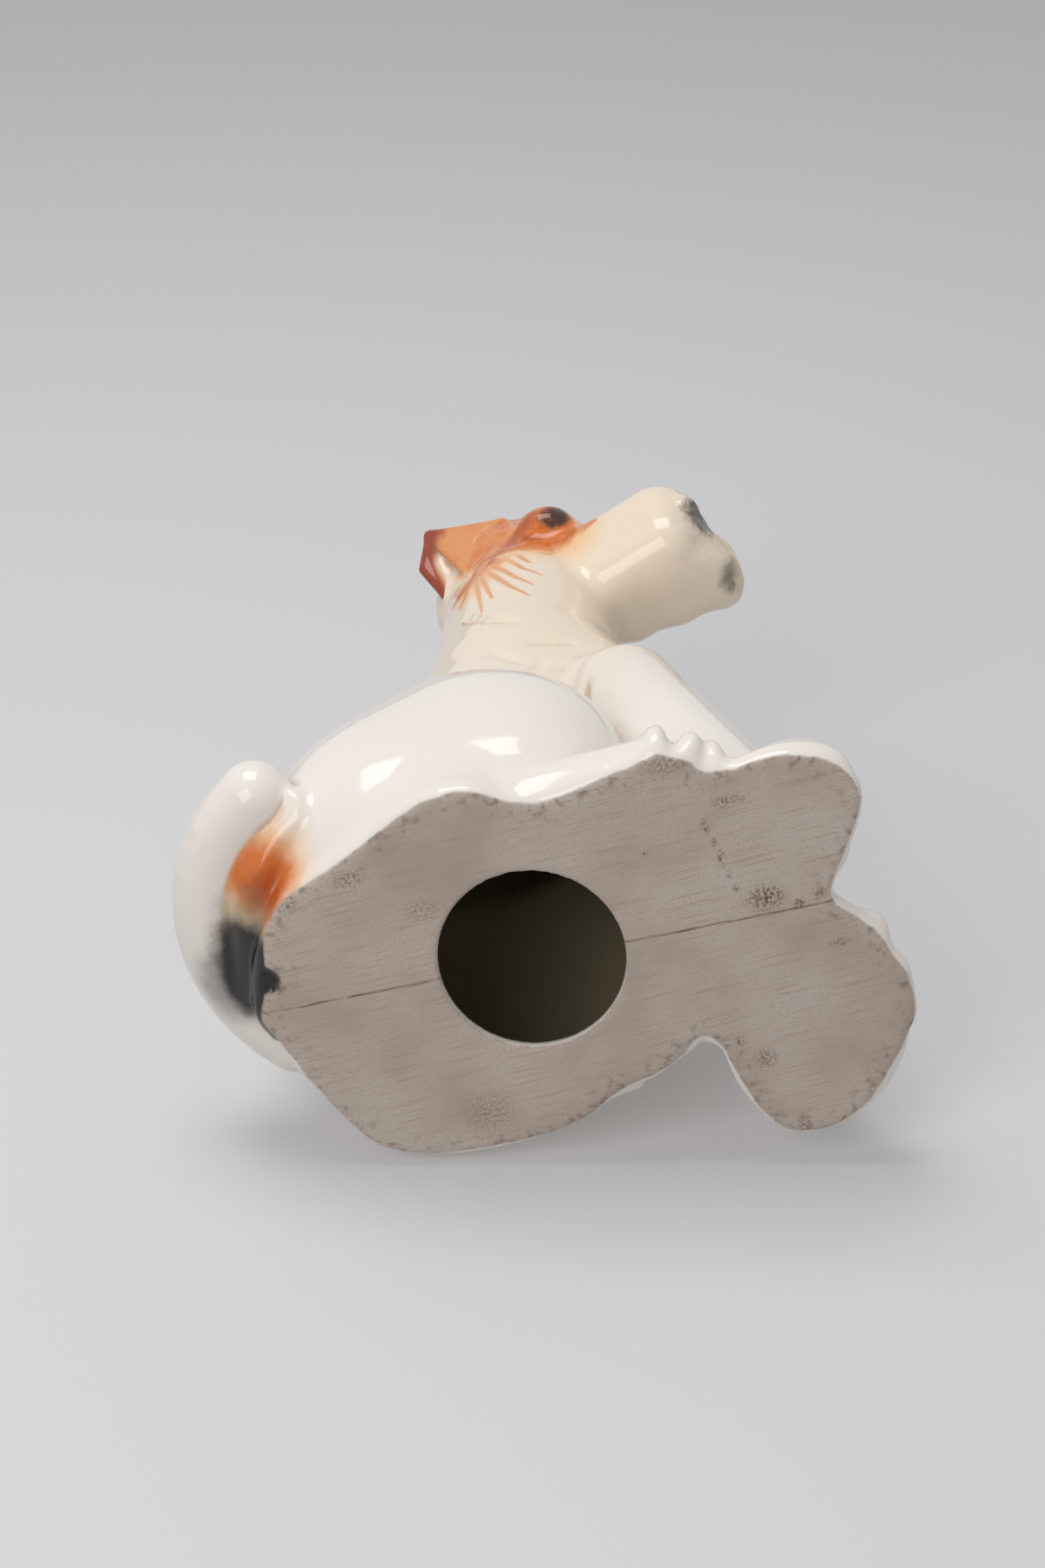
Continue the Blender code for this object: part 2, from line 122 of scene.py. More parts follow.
def egg(clay, centre, half, spin=None, blend=0.005, taken=False):
    """An ellipsoid with the given half sizes."""
    centre = np.array(centre, float)
    spin = np.eye(3) if spin is None else spin

    def distance(*place):
        own = own_directions(place, centre, spin)
        level = np.sqrt(sum((own[axis] / half[axis]) ** 2 for axis in range(3)))
        slope = np.sqrt(sum((own[axis] / half[axis] ** 2) ** 2 for axis in range(3)))
        return level * (level - 1) / np.maximum(slope, 1e-3)

    clay.work(centre - max(half), centre + max(half), distance, blend, taken)


def to_line(place, start, along):
    """How far along a straight line each place lies, from 0 to 1, and how far beside it."""
    away = [place[k] - start[k] for k in range(3)]
    share = sum(float(along[k]) * away[k] for k in range(3)) / float(along @ along)
    share = np.clip(share, 0, 1)
    return share, np.sqrt(sum((away[k] - share * float(along[k])) ** 2 for k in range(3)))


def limb(clay, start, end, start_radius, end_radius, blend=0.005, taken=False):
    """A tapered roll with round ends."""
    start = np.array(start, float)
    end = np.array(end, float)

    def distance(*place):
        share, gap = to_line(place, start, end - start)
        return gap - (start_radius + (end_radius - start_radius) * share)

    widest = max(start_radius, end_radius)
    clay.work(np.minimum(start, end) - widest, np.maximum(start, end) + widest, distance, blend, taken)


TRUNK_LOW = (0, 0.018, 0.056)
TRUNK_TOP = (-0.001, 0, 0.116)
NECK_TOP = (-0.004, 0, 0.16)
THIGH_LEAN = 22
THIGH_SPLAY = 6


def trunk(clay, shrink=0.0):
    """Rump, trunk, chest, neck, thighs and the clay between the legs, less a wall if it is hollow."""
    def less(half):
        return [length - shrink for length in half]

    egg(clay, (0, 0.026, 0.028), less((0.035, 0.035, 0.04)))
    limb(clay, TRUNK_LOW, TRUNK_TOP, 0.03 - shrink, 0.025 - shrink, 0.01)
    egg(clay, (0, -0.0145, 0.09), less((0.023, 0.029, 0.036)), blend=0.009)
    limb(clay, TRUNK_TOP, NECK_TOP, 0.025 - shrink, 0.021 - shrink, 0.006)
    egg(clay, (0, -0.024, 0.006), less((0.031, 0.04, 0.026)), blend=0.007)
    egg(clay, (0, -0.021, 0.046), less((0.022, 0.029, 0.05)), blend=0.007)
    egg(clay, (0, 0.042, 0.004), less((0.024, 0.019, 0.02)), blend=0.006)
    for side in (-1, 1):
        splay = turned((-THIGH_LEAN, 0, side * THIGH_SPLAY))
        egg(clay, (side * 0.023, 0.008, 0.038), less((0.024, 0.034, 0.038)), splay, 0.005)
        egg(clay, (side * 0.02, 0.027, 0.028), less((0.026, 0.028, 0.03)), blend=0.009)
    egg(clay, (-0.029, 0.01, 0.006), less((0.014, 0.017, 0.016)), blend=0.006)
    egg(clay, (0.031, 0.02, 0.006), less((0.0145, 0.024, 0.018)), blend=0.006)


TOE_BLEND = 0.0022
TOE_OVERLAP = 0.0006
TOE_SETBACK = 0.0015


def toes(clay, middle, along, half):
    """Three toes in a row, the middle one furthest forward."""
    spin = turned((0, 0, along))
    pitch = 2 * half[0] - TOE_OVERLAP
    for offset in (-1, 0, 1):
        centre = np.array(middle) + spin[:, 0] * offset * pitch
        centre[1] += abs(offset) * TOE_SETBACK
        egg(clay, centre, half, spin, TOE_BLEND)


HIND_TOE_HALF = (0.0034, 0.0075, 0.0072)
FRONT_TOE_HALF = (0.0052, 0.0095, 0.0085)
SHOULDER = (0.014, -0.0255, 0.084)


def legs(clay):
    """Solid legs and paws: the left front paw is splayed out to its side."""
    limb(clay, (-0.031, -0.006, 0.009), (-0.034, -0.032, 0.007), 0.009, 0.008, 0.004)
    limb(clay, (0.032, 0.002, 0.009), (0.03, -0.014, 0.007), 0.009, 0.008, 0.004)
    limb(clay, (-0.018, -0.05, 0.014), (-SHOULDER[0], *SHOULDER[1:]), 0.0115, 0.0145, 0.006)
    limb(clay, (0.034, -0.052, 0.014), SHOULDER, 0.0115, 0.0145, 0.006)
    egg(clay, (-0.02, -0.06, 0.005), (0.0145, 0.013, 0.013), blend=0.004)
    egg(clay, (0.036, -0.055, 0.004), (0.0192, 0.019, 0.016), blend=0.004)
    egg(clay, (0.014, -0.056, 0.004), (0.014, 0.013, 0.016), blend=0.004)
    toes(clay, (-0.0352, -0.0404, 0.0062), -60, HIND_TOE_HALF)
    toes(clay, (0.0298, -0.015, 0.0062), 35, HIND_TOE_HALF)
    toes(clay, (-0.02, -0.064, 0.006), 8, FRONT_TOE_HALF)
    toes(clay, (0.0215, -0.0675, 0.006), -2, FRONT_TOE_HALF)


TAIL_SEAT = metres((
    (-388, 455, 155), (-314, 535, 133), (-254, 561, 126),
    (-160, 598, 120), (-67, 625, 120), (20, 630, 120),
))
SEAT_RADIUS = 0.0055


def tail_seat(clay):
    """The clay that runs out from the rump under the tail."""
    for start, end in zip(TAIL_SEAT, TAIL_SEAT[1:]):
        limb(clay, start, end, SEAT_RADIUS, SEAT_RADIUS, 0.004)


# The sanded foot, as x and y in millimetres round it.
FOOTPRINT = (
    (1.5, 59.9), (-3.1, 57.6), (-9.9, 55.6), (-18.2, 53.9), (-22.8, 51.2), (-26.6, 47.9), (-30.1, 38.0),
    (-34.9, 28.3), (-40.6, 17.3), (-43.0, 8.4), (-41.6, 2.0), (-38.2, -2.2), (-36.0, -8.4), (-36.7, -15.2),
    (-38.8, -22.3), (-40.0, -29.2), (-41.8, -36.4), (-39.0, -41.2), (-35.4, -43.6), (-34.5, -46.6),
    (-35.7, -52.0), (-36.5, -57.8), (-35.7, -63.1), (-33.7, -68.1), (-31.0, -72.2), (-27.3, -75.0),
    (-22.7, -75.9), (-18.7, -73.9), (-14.8, -71.6), (-6.1, -66.4), (-0.2, -64.5), (3.4, -68.2),
    (7.3, -71.5), (12.0, -73.8), (17.1, -76.0), (21.3, -77.8), (27.0, -78.3), (32.4, -77.5), (35.5, -74.8),
    (39.6, -72.0), (49.4, -64.6), (53.0, -59.8), (55.6, -53.6), (55.4, -47.1), (53.3, -43.5),
    (47.8, -40.5), (34.4, -36.6), (29.3, -35.2), (26.5, -33.4), (26.0, -31.0), (27.7, -28.3),
    (31.7, -25.0), (33.6, -20.5), (34.3, -15.0), (36.0, -10.0), (41.0, -4.7), (43.3, 2.6), (43.5, 12.0),
    (43.4, 23.8), (42.7, 32.4), (40.2, 40.6), (36.5, 45.0), (30.4, 48.8), (23.5, 51.8), (12.0, 55.2),
    (6.1, 57.7),
)
SOLE_HEIGHT = 0.006
SOLE_ROUNDING = 0.003
SOLE_FLARE = 0.9
SOLE_OVERHANG = 0.0004
CHIP = (-0.0074, 0.0556, 0.0002)
CHIP_FLAKES = metres((
    ((-89, 558, 4), (13, 9, 11)),
    ((-73, 551, 0), (12, 13, 10)),
    ((-58, 562, 5), (14, 10, 12)),
))


def beside(x, y, outline):
    """How far each place lies outside a closed outline, negative inside."""
    nearest = np.full(np.broadcast(x, y).shape, FAR_AWAY)
    crossings = np.zeros(nearest.shape, int)
    for start, end in zip(outline, np.roll(outline, -1, 0)):
        side = end - start
        share = np.clip(((x - start[0]) * side[0] + (y - start[1]) * side[1]) / (side @ side), 0, 1)
        gap = np.hypot(x - start[0] - share * side[0], y - start[1] - share * side[1])
        nearest = np.minimum(nearest, gap)
        passed = (y >= start[1]) != (y >= end[1])
        rise = side[1] if side[1] else 1
        crossings += passed & (x < start[0] + (y - start[1]) * side[0] / rise)
    return np.where(crossings % 2, -nearest, nearest)


def beside_foot(clay):
    """How far each place lies outside the footprint, and how far over it the clay may hang there."""
    outline = np.array(FOOTPRINT) / 1000
    for _ in range(2):
        after = np.roll(outline, -1, 0)
        outline = np.stack([0.75 * outline + 0.25 * after, 0.25 * outline + 0.75 * after], 1).reshape(-1, 2)
    x, y, z = clay.everywhere()
    out = beside(x[:, :, 0], y[:, :, 0], outline)[:, :, None].astype(np.float32)
    return out, SOLE_OVERHANG + SOLE_FLARE * np.maximum(z, 0)


def sole(clay):
    """Spreads the clay out to the edge of the foot, and trims what hangs over it low down."""
    out, room = beside_foot(clay)
    z = clay.everywhere()[2]
    over = z - SOLE_HEIGHT + SOLE_ROUNDING
    aside = out + SOLE_ROUNDING
    slab = np.sqrt(np.maximum(aside, 0) ** 2 + np.maximum(over, 0) ** 2)
    slab = slab + np.minimum(np.maximum(aside, over), 0) - SOLE_ROUNDING
    clay.depth = blended(clay.depth, slab, 0.004)
    clay.depth = -blended(-clay.depth, room - out, 0.001)
    for centre, half in CHIP_FLAKES:
        egg(clay, centre, half, blend=0.0003, taken=True)


LUMP_SIZES = ((0.016, 0.0005), (0.0075, 0.00026))
LUMP_LATTICE = 48


def lumps(clay):
    """The low unevenness that a hand leaves on the clay and that the glaze rounds off."""
    lattice = np.random.default_rng(3).random((LUMP_LATTICE,) * 3) - 0.5
    height = np.zeros(clay.depth.shape, np.float32)
    for size, rise in LUMP_SIZES:
        steps, shares = [], []
        for line, count in zip(clay.low, clay.depth.shape):
            place = (line + clay.grain * np.arange(count)) / size + LUMP_LATTICE / 4
            step = np.floor(place).astype(int)
            share = place - step
            steps.append(step)
            shares.append(share * share * (3 - 2 * share))
        for corner in product((0, 1), repeat=3):
            index = [(step + shift) % LUMP_LATTICE for step, shift in zip(steps, corner)]
            weight = [share if shift else 1 - share for share, shift in zip(shares, corner)]
            share = weight[0][:, None, None] * weight[1][None, :, None] * weight[2][None, None, :]
            height += (lattice[np.ix_(*index)] * share * rise).astype(np.float32)
    return height


# Creases in the skin of the neck, the shoulder and the chest on the right, as points along each.
CREASES = metres((
    ((-232, 105, 1330), (-268, 45, 1206), (-272, -24, 1152)),
    ((-260, -60, 1042), (-231, -152, 1059)),
    ((-269, 33, 1004), (-260, -39, 940)),
    ((-262, -40, 850), (-251, -82, 938)),
    ((-262, -90, 820), (-244, -129, 921)),
    ((-262, -128, 735), (-253, -160, 811), (-238, -188, 865)),
    ((-258, -160, 655), (-245, -182, 729), (-228, -206, 780)),
))
CREASE_RADIUS = 0.0011
CREASE_LIFT = 0.0006
CREASE_BLEND = 0.0016
CREASE_STEPS = 7


def creases(clay):
    """Draws each crease along the skin as it is."""
    slope = np.stack(np.gradient(clay.depth, clay.grain), -1)
    high = clay.low + clay.grain * (np.array(clay.depth.shape) - 1)
    for points in CREASES:
        steps = np.linspace(0, len(points) - 1, CREASE_STEPS)
        line = np.stack([np.interp(steps, range(len(points)), axis) for axis in np.array(points).T], 1)
        if (line < clay.low).any(1).all() or (line > high).any(1).all():
            continue
        for _ in range(4):
            normal = read(clay, slope, line)
            steep = np.maximum((normal ** 2).sum(1), 0.2)
            line = line - normal * ((read(clay, clay.depth, line) - CREASE_LIFT) / steep)[:, None]
        for start, end in zip(line, line[1:]):
            limb(clay, start, end, CREASE_RADIUS, CREASE_RADIUS, CREASE_BLEND, True)


def hollow_in(clay, forms):
    """The room inside: hollow forms less their wall, above the floor, and the vent hole."""
    room = Clay(clay.low, clay.low + clay.grain * (np.array(clay.depth.shape) - 1.5), clay.grain)
    for form in forms:
        form(room, WALL)
    if clay.low[2] < 0:
        out, over = beside_foot(room)
        room.depth = np.maximum(room.depth, out - over + WALL)
    x, y, z = room.everywhere()
    room.depth = -blended(-room.depth, z - BASE_FLOOR, FLOOR_FILLET)
    oval = (np.sqrt((x / HOLE_HALF_WIDTH) ** 2 + (y / HOLE_HALF_LENGTH) ** 2) - 1) * HOLE_HALF_LENGTH
    oval = oval - HOLE_FLARE * np.maximum(z - HOLE_LIP, 0)
    hole = np.maximum(oval, z - BASE_FLOOR - HOLE_OVERRUN)
    room.depth = blended(room.depth, hole, 0.0005)
    return room.depth


def netted(clay, depth):
    """The surface of the clay as points and four-sided faces, one point in each cell it crosses."""
    depth = depth.copy()
    for axis in range(3):
        layers = np.moveaxis(depth, axis, 0)
        for edge in (0, -1):
            layers[edge] = np.maximum(layers[edge], clay.grain / 2)
    within = depth < 0
    cells = np.array(depth.shape) - 1
    total = np.zeros((*cells, 3), np.float32)
    count = np.zeros(cells, np.float32)

    def shifted(corner):
        return depth[tuple(slice(corner[k], cells[k] + corner[k]) for k in range(3))]

    for axis in range(3):
        for corner in product((0, 1), repeat=3):
            if corner[axis]:
                continue
            beyond = list(corner)
            beyond[axis] = 1
            near, far = shifted(corner), shifted(beyond)
            crossed = (near < 0) != (far < 0)
            share = near[crossed] / (near[crossed] - far[crossed])
            for k in range(3):
                total[..., k][crossed] += corner[k] + (share if k == axis else 0)
            count[crossed] += 1
    held = count > 0
    number = np.full(count.shape, -1, np.int64)
    number[held] = np.arange(held.sum())
    points = (np.argwhere(held) + total[held] / count[held][:, None]) * clay.grain + clay.low
    faces = []
    for axis in range(3):
        one, two = (axis + 1) % 3, (axis + 2) % 3
        first, second = [slice(None)] * 3, [slice(None)] * 3
        first[axis], second[axis] = slice(0, cells[axis]), slice(1, None)
        for flipped in (False, True):
            leaving = within[tuple(first)] & ~within[tuple(second)]
            entering = ~within[tuple(first)] & within[tuple(second)]
            edges = np.argwhere(entering if flipped else leaving)
            ring = []
            for step_one, step_two in ((-1, -1), (0, -1), (0, 0), (-1, 0)):
                cell = edges.copy()
                cell[:, one] += step_one
                cell[:, two] += step_two
                ring.append(number[cell[:, 0], cell[:, 1], cell[:, 2]])
            ring = np.stack(ring, 1)
            faces.append(ring[:, ::-1] if flipped else ring)
    return points, np.concatenate(faces)


def mesh_of(name, points, faces):
    mesh = bpy.data.meshes.new(name)
    mesh.from_pydata((points + np.array(HOLE_PLACE)).tolist(), [], faces.tolist())
    return mesh


def told(items, label, width=1, kind=np.float32):
    """What a mesh says of each of its points, faces or corners."""
    values = np.empty(len(items) * width, kind)
    items.foreach_get(label, values)
    return values if width == 1 else values.reshape(-1, width)


def knife(low, high, stance=None):
    """A block between two corners that parts clay along its sides."""
    corners = np.array(list(product(*zip(low, high))))
    if stance is not None:
        corners = np.array([stance @ Vector(corner) for corner in corners])
    sides = [(0, 1, 3, 2), (4, 6, 7, 5), (0, 4, 5, 1), (2, 3, 7, 6), (0, 2, 6, 4), (1, 5, 7, 3)]
    return mesh_of("knife", corners, np.array(sides))


KNIFE_REACH = 0.4


def halves(top=KNIFE_REACH, stance=None):
    """Each side's name, with the knife that leaves its half."""
    for side_name, low_x, high_x in (("right", -KNIFE_REACH, 0), ("left", 0, KNIFE_REACH)):
        yield side_name, knife((low_x, -KNIFE_REACH, -KNIFE_REACH), (high_x, KNIFE_REACH, top), stance)


def placed(name, data):
    """A mesh, a lamp or a camera put in the scene."""
    made = bpy.data.objects.new(name, data)
    bpy.context.collection.objects.link(made)
    return made


def cut(mesh, tool, operation):
    """The mesh cut by a closed tool, as a new mesh."""
    holders = [placed("work", mesh), placed("tool", tool)]
    step = holders[0].modifiers.new("cut", "BOOLEAN")
    step.operation = operation
    step.object = holders[1]
    step.solver = "MANIFOLD"
    depsgraph = bpy.context.evaluated_depsgraph_get()
    result = bpy.data.meshes.new_from_object(holders[0].evaluated_get(depsgraph))
    for holder in holders:
        bpy.data.objects.remove(holder)
    return result


def read(clay, values, places):
    """Values of a grid between its points, at the given places."""
    grid = np.clip((places - clay.low) / clay.grain, 0, np.array(values.shape[:3]) - 1.001)
    corner = grid.astype(int)
    part = grid - corner
    result = 0
    for shift in product((0, 1), repeat=3):
        share = np.prod(np.where(shift, part, 1 - part), 1)
        index = tuple((corner + shift).T)
        taken = values[index]
        result = result + (taken * share if taken.ndim == 1 else taken * share[:, None])
    return result


def softened(values, passes):
    """Neighbouring values averaged along x, y and z."""
    for _ in range(passes):
        for axis in range(3):
            values = (np.roll(values, 1, axis) + 2 * values + np.roll(values, -1, axis)) / 4
    return values


SHARP_TURN = 0.6
INSIDE_FADE = 0.001
pieces = []


class Pressing:
    """Clay hollowed out, as a net that knives part into pieces, and what the glaze must know of it."""

    def __init__(self, clay, skin, forms):
        self.clay = clay
        self.skin = skin
        self.room = hollow_in(clay, forms)
        z = clay.everywhere()[2]
        solid = -blended(-clay.depth, z + 0 * clay.depth, FOOT_ROUNDING)
        solid = -blended(-solid, self.room, HOLE_RIM)
        self.solid = np.minimum(solid, FAR_AWAY)
        self.slope = np.stack(np.gradient(self.solid, clay.grain), -1)
        self.crease = self.solid - softened(self.solid, 6)
        self.net = mesh_of("net", *netted(clay, self.solid))
        self.edge = mesh_of("edge", *netted(clay, skin - LUTING_LINE))

    def piece(self, name, mesh, glaze):
        """Gives a cut piece its glaze, its smooth normals and the notes that the glaze reads."""
        mesh.name = name
        places = told(mesh.vertices, "co", 3) - np.array(HOLE_PLACE)
        smooth = read(self.clay, self.slope, places)
        smooth /= np.maximum(np.linalg.norm(smooth, axis=1), 1e-6)[:, None]
        corners = told(mesh.polygons, "loop_total", 1, np.int32)
        flat = np.repeat(told(mesh.polygons, "normal", 3), corners, 0)
        round_ones = smooth[told(mesh.loops, "vertex_index", 1, np.int32)]
        agree = (flat * round_ones).sum(1) > SHARP_TURN
        mesh.shade_smooth()
        mesh.normals_split_custom_set(np.where(agree[:, None], round_ones, flat).tolist())
        for label, values in (
            ("edge", -read(self.clay, self.skin, places)),
            ("inside", np.clip(1 - read(self.clay, self.room, places) / INSIDE_FADE, 0, 1)),
            ("fold", read(self.clay, self.crease, places) * 1000),
        ):
            note = mesh.attributes.new(label, "FLOAT", "POINT")
            note.data.foreach_set("value", np.asarray(values, np.float32))
        mesh.materials.clear()
        mesh.materials.append(glaze)
        made = placed(name, mesh)
        pieces.append(made)
        return made


body_clay = Clay((-0.062, -0.086, -0.006), (0.064, 0.088, 0.15), BODY_GRAIN)
trunk(body_clay)
legs(body_clay)
tail_seat(body_clay)
sole(body_clay)
creases(body_clay)
body_skin = body_clay.depth + lumps(body_clay)


# Glaze of the body: white porcelain under a clear glaze, with a cream wash towards the head, orange
# and black brushed on beside the tail, and a bare sanded foot, dirty from handling.
def ink(red, green, blue):
    """A paint colour from its values on a printed colour chart, 0 to 255."""
    channels = []
    for value in (red, green, blue):
        share = value / 255
        channels.append(share / 12.92 if share <= 0.04045 else ((share + 0.055) / 1.055) ** 2.4)
    return (*channels, 1)


WHITE_GLAZE = ink(245, 237, 228)
CREAM_WASH = ink(245, 228, 205)
# Brown for the piece's own tint in its creases, and painted shade in its hollows.
CREASE_TINT_AND_SHADE = ink(196, 164, 136)
ORANGE = ink(218, 108, 20)
APRICOT = ink(250, 200, 142)
DEEP_ORANGE = ink(166, 66, 10)
OLIVE = ink(150, 132, 98)
BLACK = ink(14, 13, 14)
BISQUE = ink(204, 190, 177)
BISQUE_DARK = ink(176, 159, 146)
DIRT = ink(92, 70, 50)
SEAM_DIRT = ink(112, 92, 74)
INSIDE = ink(146, 134, 108)
GLAZE_IOR = 1.52
GLAZE_ROUGHNESS = 0.1
BISQUE_ROUGHNESS = 0.85
WASH_START = 0.06
WASH_FULL = 0.14
BUMP_HEIGHT = 0.00012


class Nodes:
    """Steps that work out the colour or the light of a material or of the studio."""

    def __init__(self, owner):
        owner.use_nodes = True
        self.tree = owner.node_tree

    def node(self, kind, **settings):
        made = self.tree.nodes.new(kind)
        for label, value in settings.items():
            setattr(made, label, value)
        return made

    def put(self, value, socket):
        if isinstance(value, bpy.types.NodeSocket):
            self.tree.links.new(value, socket)
        else:
            socket.default_value = value

    def sum(self, operation, *values):
        step = self.node("ShaderNodeMath", operation=operation)
        for value, socket in zip(values, step.inputs):
            self.put(value, socket)
        return step.outputs[0]

    def times(self, one, other):
        return self.sum("MULTIPLY", one, other)

    def most(self, one, other):
        return self.sum("MAXIMUM", one, other)

    def mixed(self, share, one, other, kind="RGBA"):
        """One value running over into another while the share goes from 0 to 1."""
        step = self.node("ShaderNodeMix", data_type=kind)
        first, result = (6, 2) if kind == "RGBA" else (2, 0)
        for number, value in ((0, share), (first, one), (first + 1, other)):
            self.put(value, step.inputs[number])
        return step.outputs[result]


class Paint(Nodes):
    """A glaze that takes one brushed layer after another."""

    def __init__(self, name):
        self.material = bpy.data.materials.new(name)
        super().__init__(self.material)
        self.shader = self.tree.nodes["Principled BSDF"]
        place = self.node("ShaderNodeTexCoord").outputs["Object"]
        self.place = self.vector("SUBTRACT", place, HOLE_PLACE)
        self.colour = WHITE_GLAZE

    def vector(self, operation, *values):
        step = self.node("ShaderNodeVectorMath", operation=operation)
        for value, socket in zip(values, step.inputs):
            self.put(value, socket)
        return step.outputs["Value" if operation in ("LENGTH", "DISTANCE", "DOT_PRODUCT") else 0]

    def parts(self, place):
        """How far a place lies across, along and up."""
        step = self.node("ShaderNodeSeparateXYZ")
        self.put(place, step.inputs[0])
        return step.outputs

    def ramp(self, value, start, stop, low=0.0, high=1.0):
        """Runs smoothly from low to high while the value goes from start to stop."""
        step = self.node("ShaderNodeMapRange", interpolation_type="SMOOTHSTEP")
        for number, setting in enumerate((value, start, stop, low, high)):
            self.put(setting, step.inputs[number])
        return step.outputs[0]

    def grid(self, place, middle, turn, scale):
        """Places counted from a middle, in directions turned and scaled."""
        step = self.node("ShaderNodeMapping", vector_type="TEXTURE")
        turn = [math.radians(angle) for angle in turn]
        for value, socket in zip((place, middle, turn, scale), step.inputs):
            self.put(value, socket)
        return step.outputs[0]

    def noise(self, place, size, detail=2.0, stretch=(1, 1, 1), turn=(0, 0, 0)):
        """Cloudy values about 0.5, with patches of about the given size in metres."""
        cloud = self.node("ShaderNodeTexNoise")
        cloud.inputs["Scale"].default_value = 1
        cloud.inputs["Detail"].default_value = detail
        grid = self.grid(place, (0, 0, 0), turn, [size * length for length in stretch])
        self.put(grid, cloud.inputs["Vector"])
        return cloud.outputs["Fac"]

    def note(self, label):
        """What a piece's mesh knows of each of its points."""
        return self.node("ShaderNodeAttribute", attribute_name=label).outputs["Fac"]

    def frayed(self, level, soft, cloud, fray):
        """1 where the level is under 1, with a soft edge that a cloud frays."""
        if cloud is not None:
            level = self.sum("ADD", level, self.times(self.sum("SUBTRACT", cloud, 0.5), fray))
        return self.ramp(level, 1 + soft, 1 - soft)

    def patch(self, place, centre, half, soft=0.25, cloud=None, fray=0.0):
        """1 inside an egg-shaped patch, 0 outside."""
        own = self.vector("DIVIDE", self.vector("SUBTRACT", place, centre), half)
        return self.frayed(self.vector("LENGTH", own), soft, cloud, fray)

    def stroke(self, place, points, half, tip, soft=0.4, cloud=None, fray=0.0):
        """1 along a stroke of a brush through some points, half as wide as given, narrowing to its tip."""
        whole = None
        spans = len(points) - 1
        for number in range(spans):
            start, end = Vector(points[number]), Vector(points[number + 1])
            along = end - start
            away = self.vector("SUBTRACT", place, start)
            clamp = self.node("ShaderNodeClamp")
            self.put(self.vector("DOT_PRODUCT", away, along / along.length_squared), clamp.inputs[0])
            share = clamp.outputs[0]
            foot = self.node("ShaderNodeVectorMath", operation="SCALE")
            foot.inputs[0].default_value = along
            self.put(share, foot.inputs["Scale"])
            gap = self.vector("DISTANCE", away, foot.outputs[0])
            wide = half + (tip - half) * number / spans
            narrow = half + (tip - half) * (number + 1) / spans
            width = self.sum("MULTIPLY_ADD", share, narrow - wide, wide)
            level = self.sum("DIVIDE", gap, width)
            whole = level if whole is None else self.sum("MINIMUM", whole, level)
        return self.frayed(whole, soft, cloud, fray)

    def brush(self, mask, colour, strength=1.0):
        """Lays a colour over what is there, where the mask is 1."""
        if strength != 1.0:
            mask = self.times(mask, strength)
        self.colour = self.mixed(mask, self.colour, colour)

    def wash(self):
        """The cream wash, stronger towards the head, and a brown tint in folds and hollows that is partly
        painted shade.
        """
        cloud = self.times(self.noise(self.place, 0.03), 0.03)
        up = self.sum("ADD", self.parts(self.place)[2], cloud)
        self.brush(self.ramp(up, WASH_START, WASH_FULL), CREAM_WASH)
        # Partly painted shade: brown darkening wherever the surface is hollow, over the piece's own tint in
        # its creases.
        folds = self.ramp(self.note("fold"), 0.08, 0.42)
        thin = self.ramp(self.noise(self.place, 0.018), 0.38, 0.62, 0.2, 0.8)
        self.brush(self.times(folds, thin), CREASE_TINT_AND_SHADE)

    def fire(self, bare, relief):
        """Glossy where glazed, dull where bare, with the relief given for the bare clay."""
        above_rim = self.ramp(self.parts(self.place)[2], 0.002, 0.0036)
        inside = self.times(self.ramp(self.note("inside"), 0.2, 0.6), above_rim)
        bare = inside if bare is None else self.most(bare, inside)
        self.brush(inside, INSIDE)
        ripple = self.noise(self.place, 0.006, 1)
        if relief is None:
            relief = self.noise(self.place, 0.0008, 2)
        bump = self.node("ShaderNodeBump")
        bump.inputs["Strength"].default_value = 0.6
        bump.inputs["Distance"].default_value = BUMP_HEIGHT
        self.put(self.mixed(bare, ripple, relief, "FLOAT"), bump.inputs["Height"])
        self.put(bump.outputs[0], self.shader.inputs["Normal"])
        roughness = self.ramp(bare, 0, 1, GLAZE_ROUGHNESS, BISQUE_ROUGHNESS)
        self.put(roughness, self.shader.inputs["Roughness"])
        self.put(self.colour, self.shader.inputs["Base Color"])
        self.shader.inputs["IOR"].default_value = GLAZE_IOR


def ear_strokes(paint, face_side):
    """Hair strokes in orange, brushed from the eye and the ear down the cheek and the neck."""
    hairs = paint.noise(face_side, 0.0014, 2, (1, 1.3, 6.0), (30, 0, 0))
    cloud = paint.noise(face_side, 0.005, 2)
    paint.brush(paint.stroke(face_side, *CHEEK_GLOW, 0.65, cloud, 0.6), APRICOT, 0.95)
    whole = paint.patch(face_side, (0.017, -0.012, 0.007), (0.008, 0.0105, 0.008), 0.35, hairs, 0.8)
    for points, half, tip in HAIR_STROKES:
        whole = paint.most(whole, paint.stroke(face_side, points, half, tip, 0.65, hairs, 1.2))
    thin = paint.ramp(paint.noise(face_side, 0.006, 2), 0.35, 0.65, 0.7, 0.97)
    paint.brush(paint.ramp(whole, 0.0, 0.5), APRICOT)
    paint.brush(paint.times(whole, thin), ORANGE)
    wisps = 0.0
    for points in WISPS:
        hair = paint.stroke(face_side, points, WISP_HALF, WISP_TIP, 0.8, hairs, 0.5)
        wisps = paint.most(wisps, hair)
    paint.brush(paint.ramp(wisps, 0.0, 0.4), APRICOT, 0.8)
    paint.brush(wisps, ORANGE, 0.55)
    for points, half, tip in DARK_STROKES:
        paint.brush(paint.stroke(face_side, points, half, tip, 0.8, hairs, 1.4), DEEP_ORANGE, 0.7)


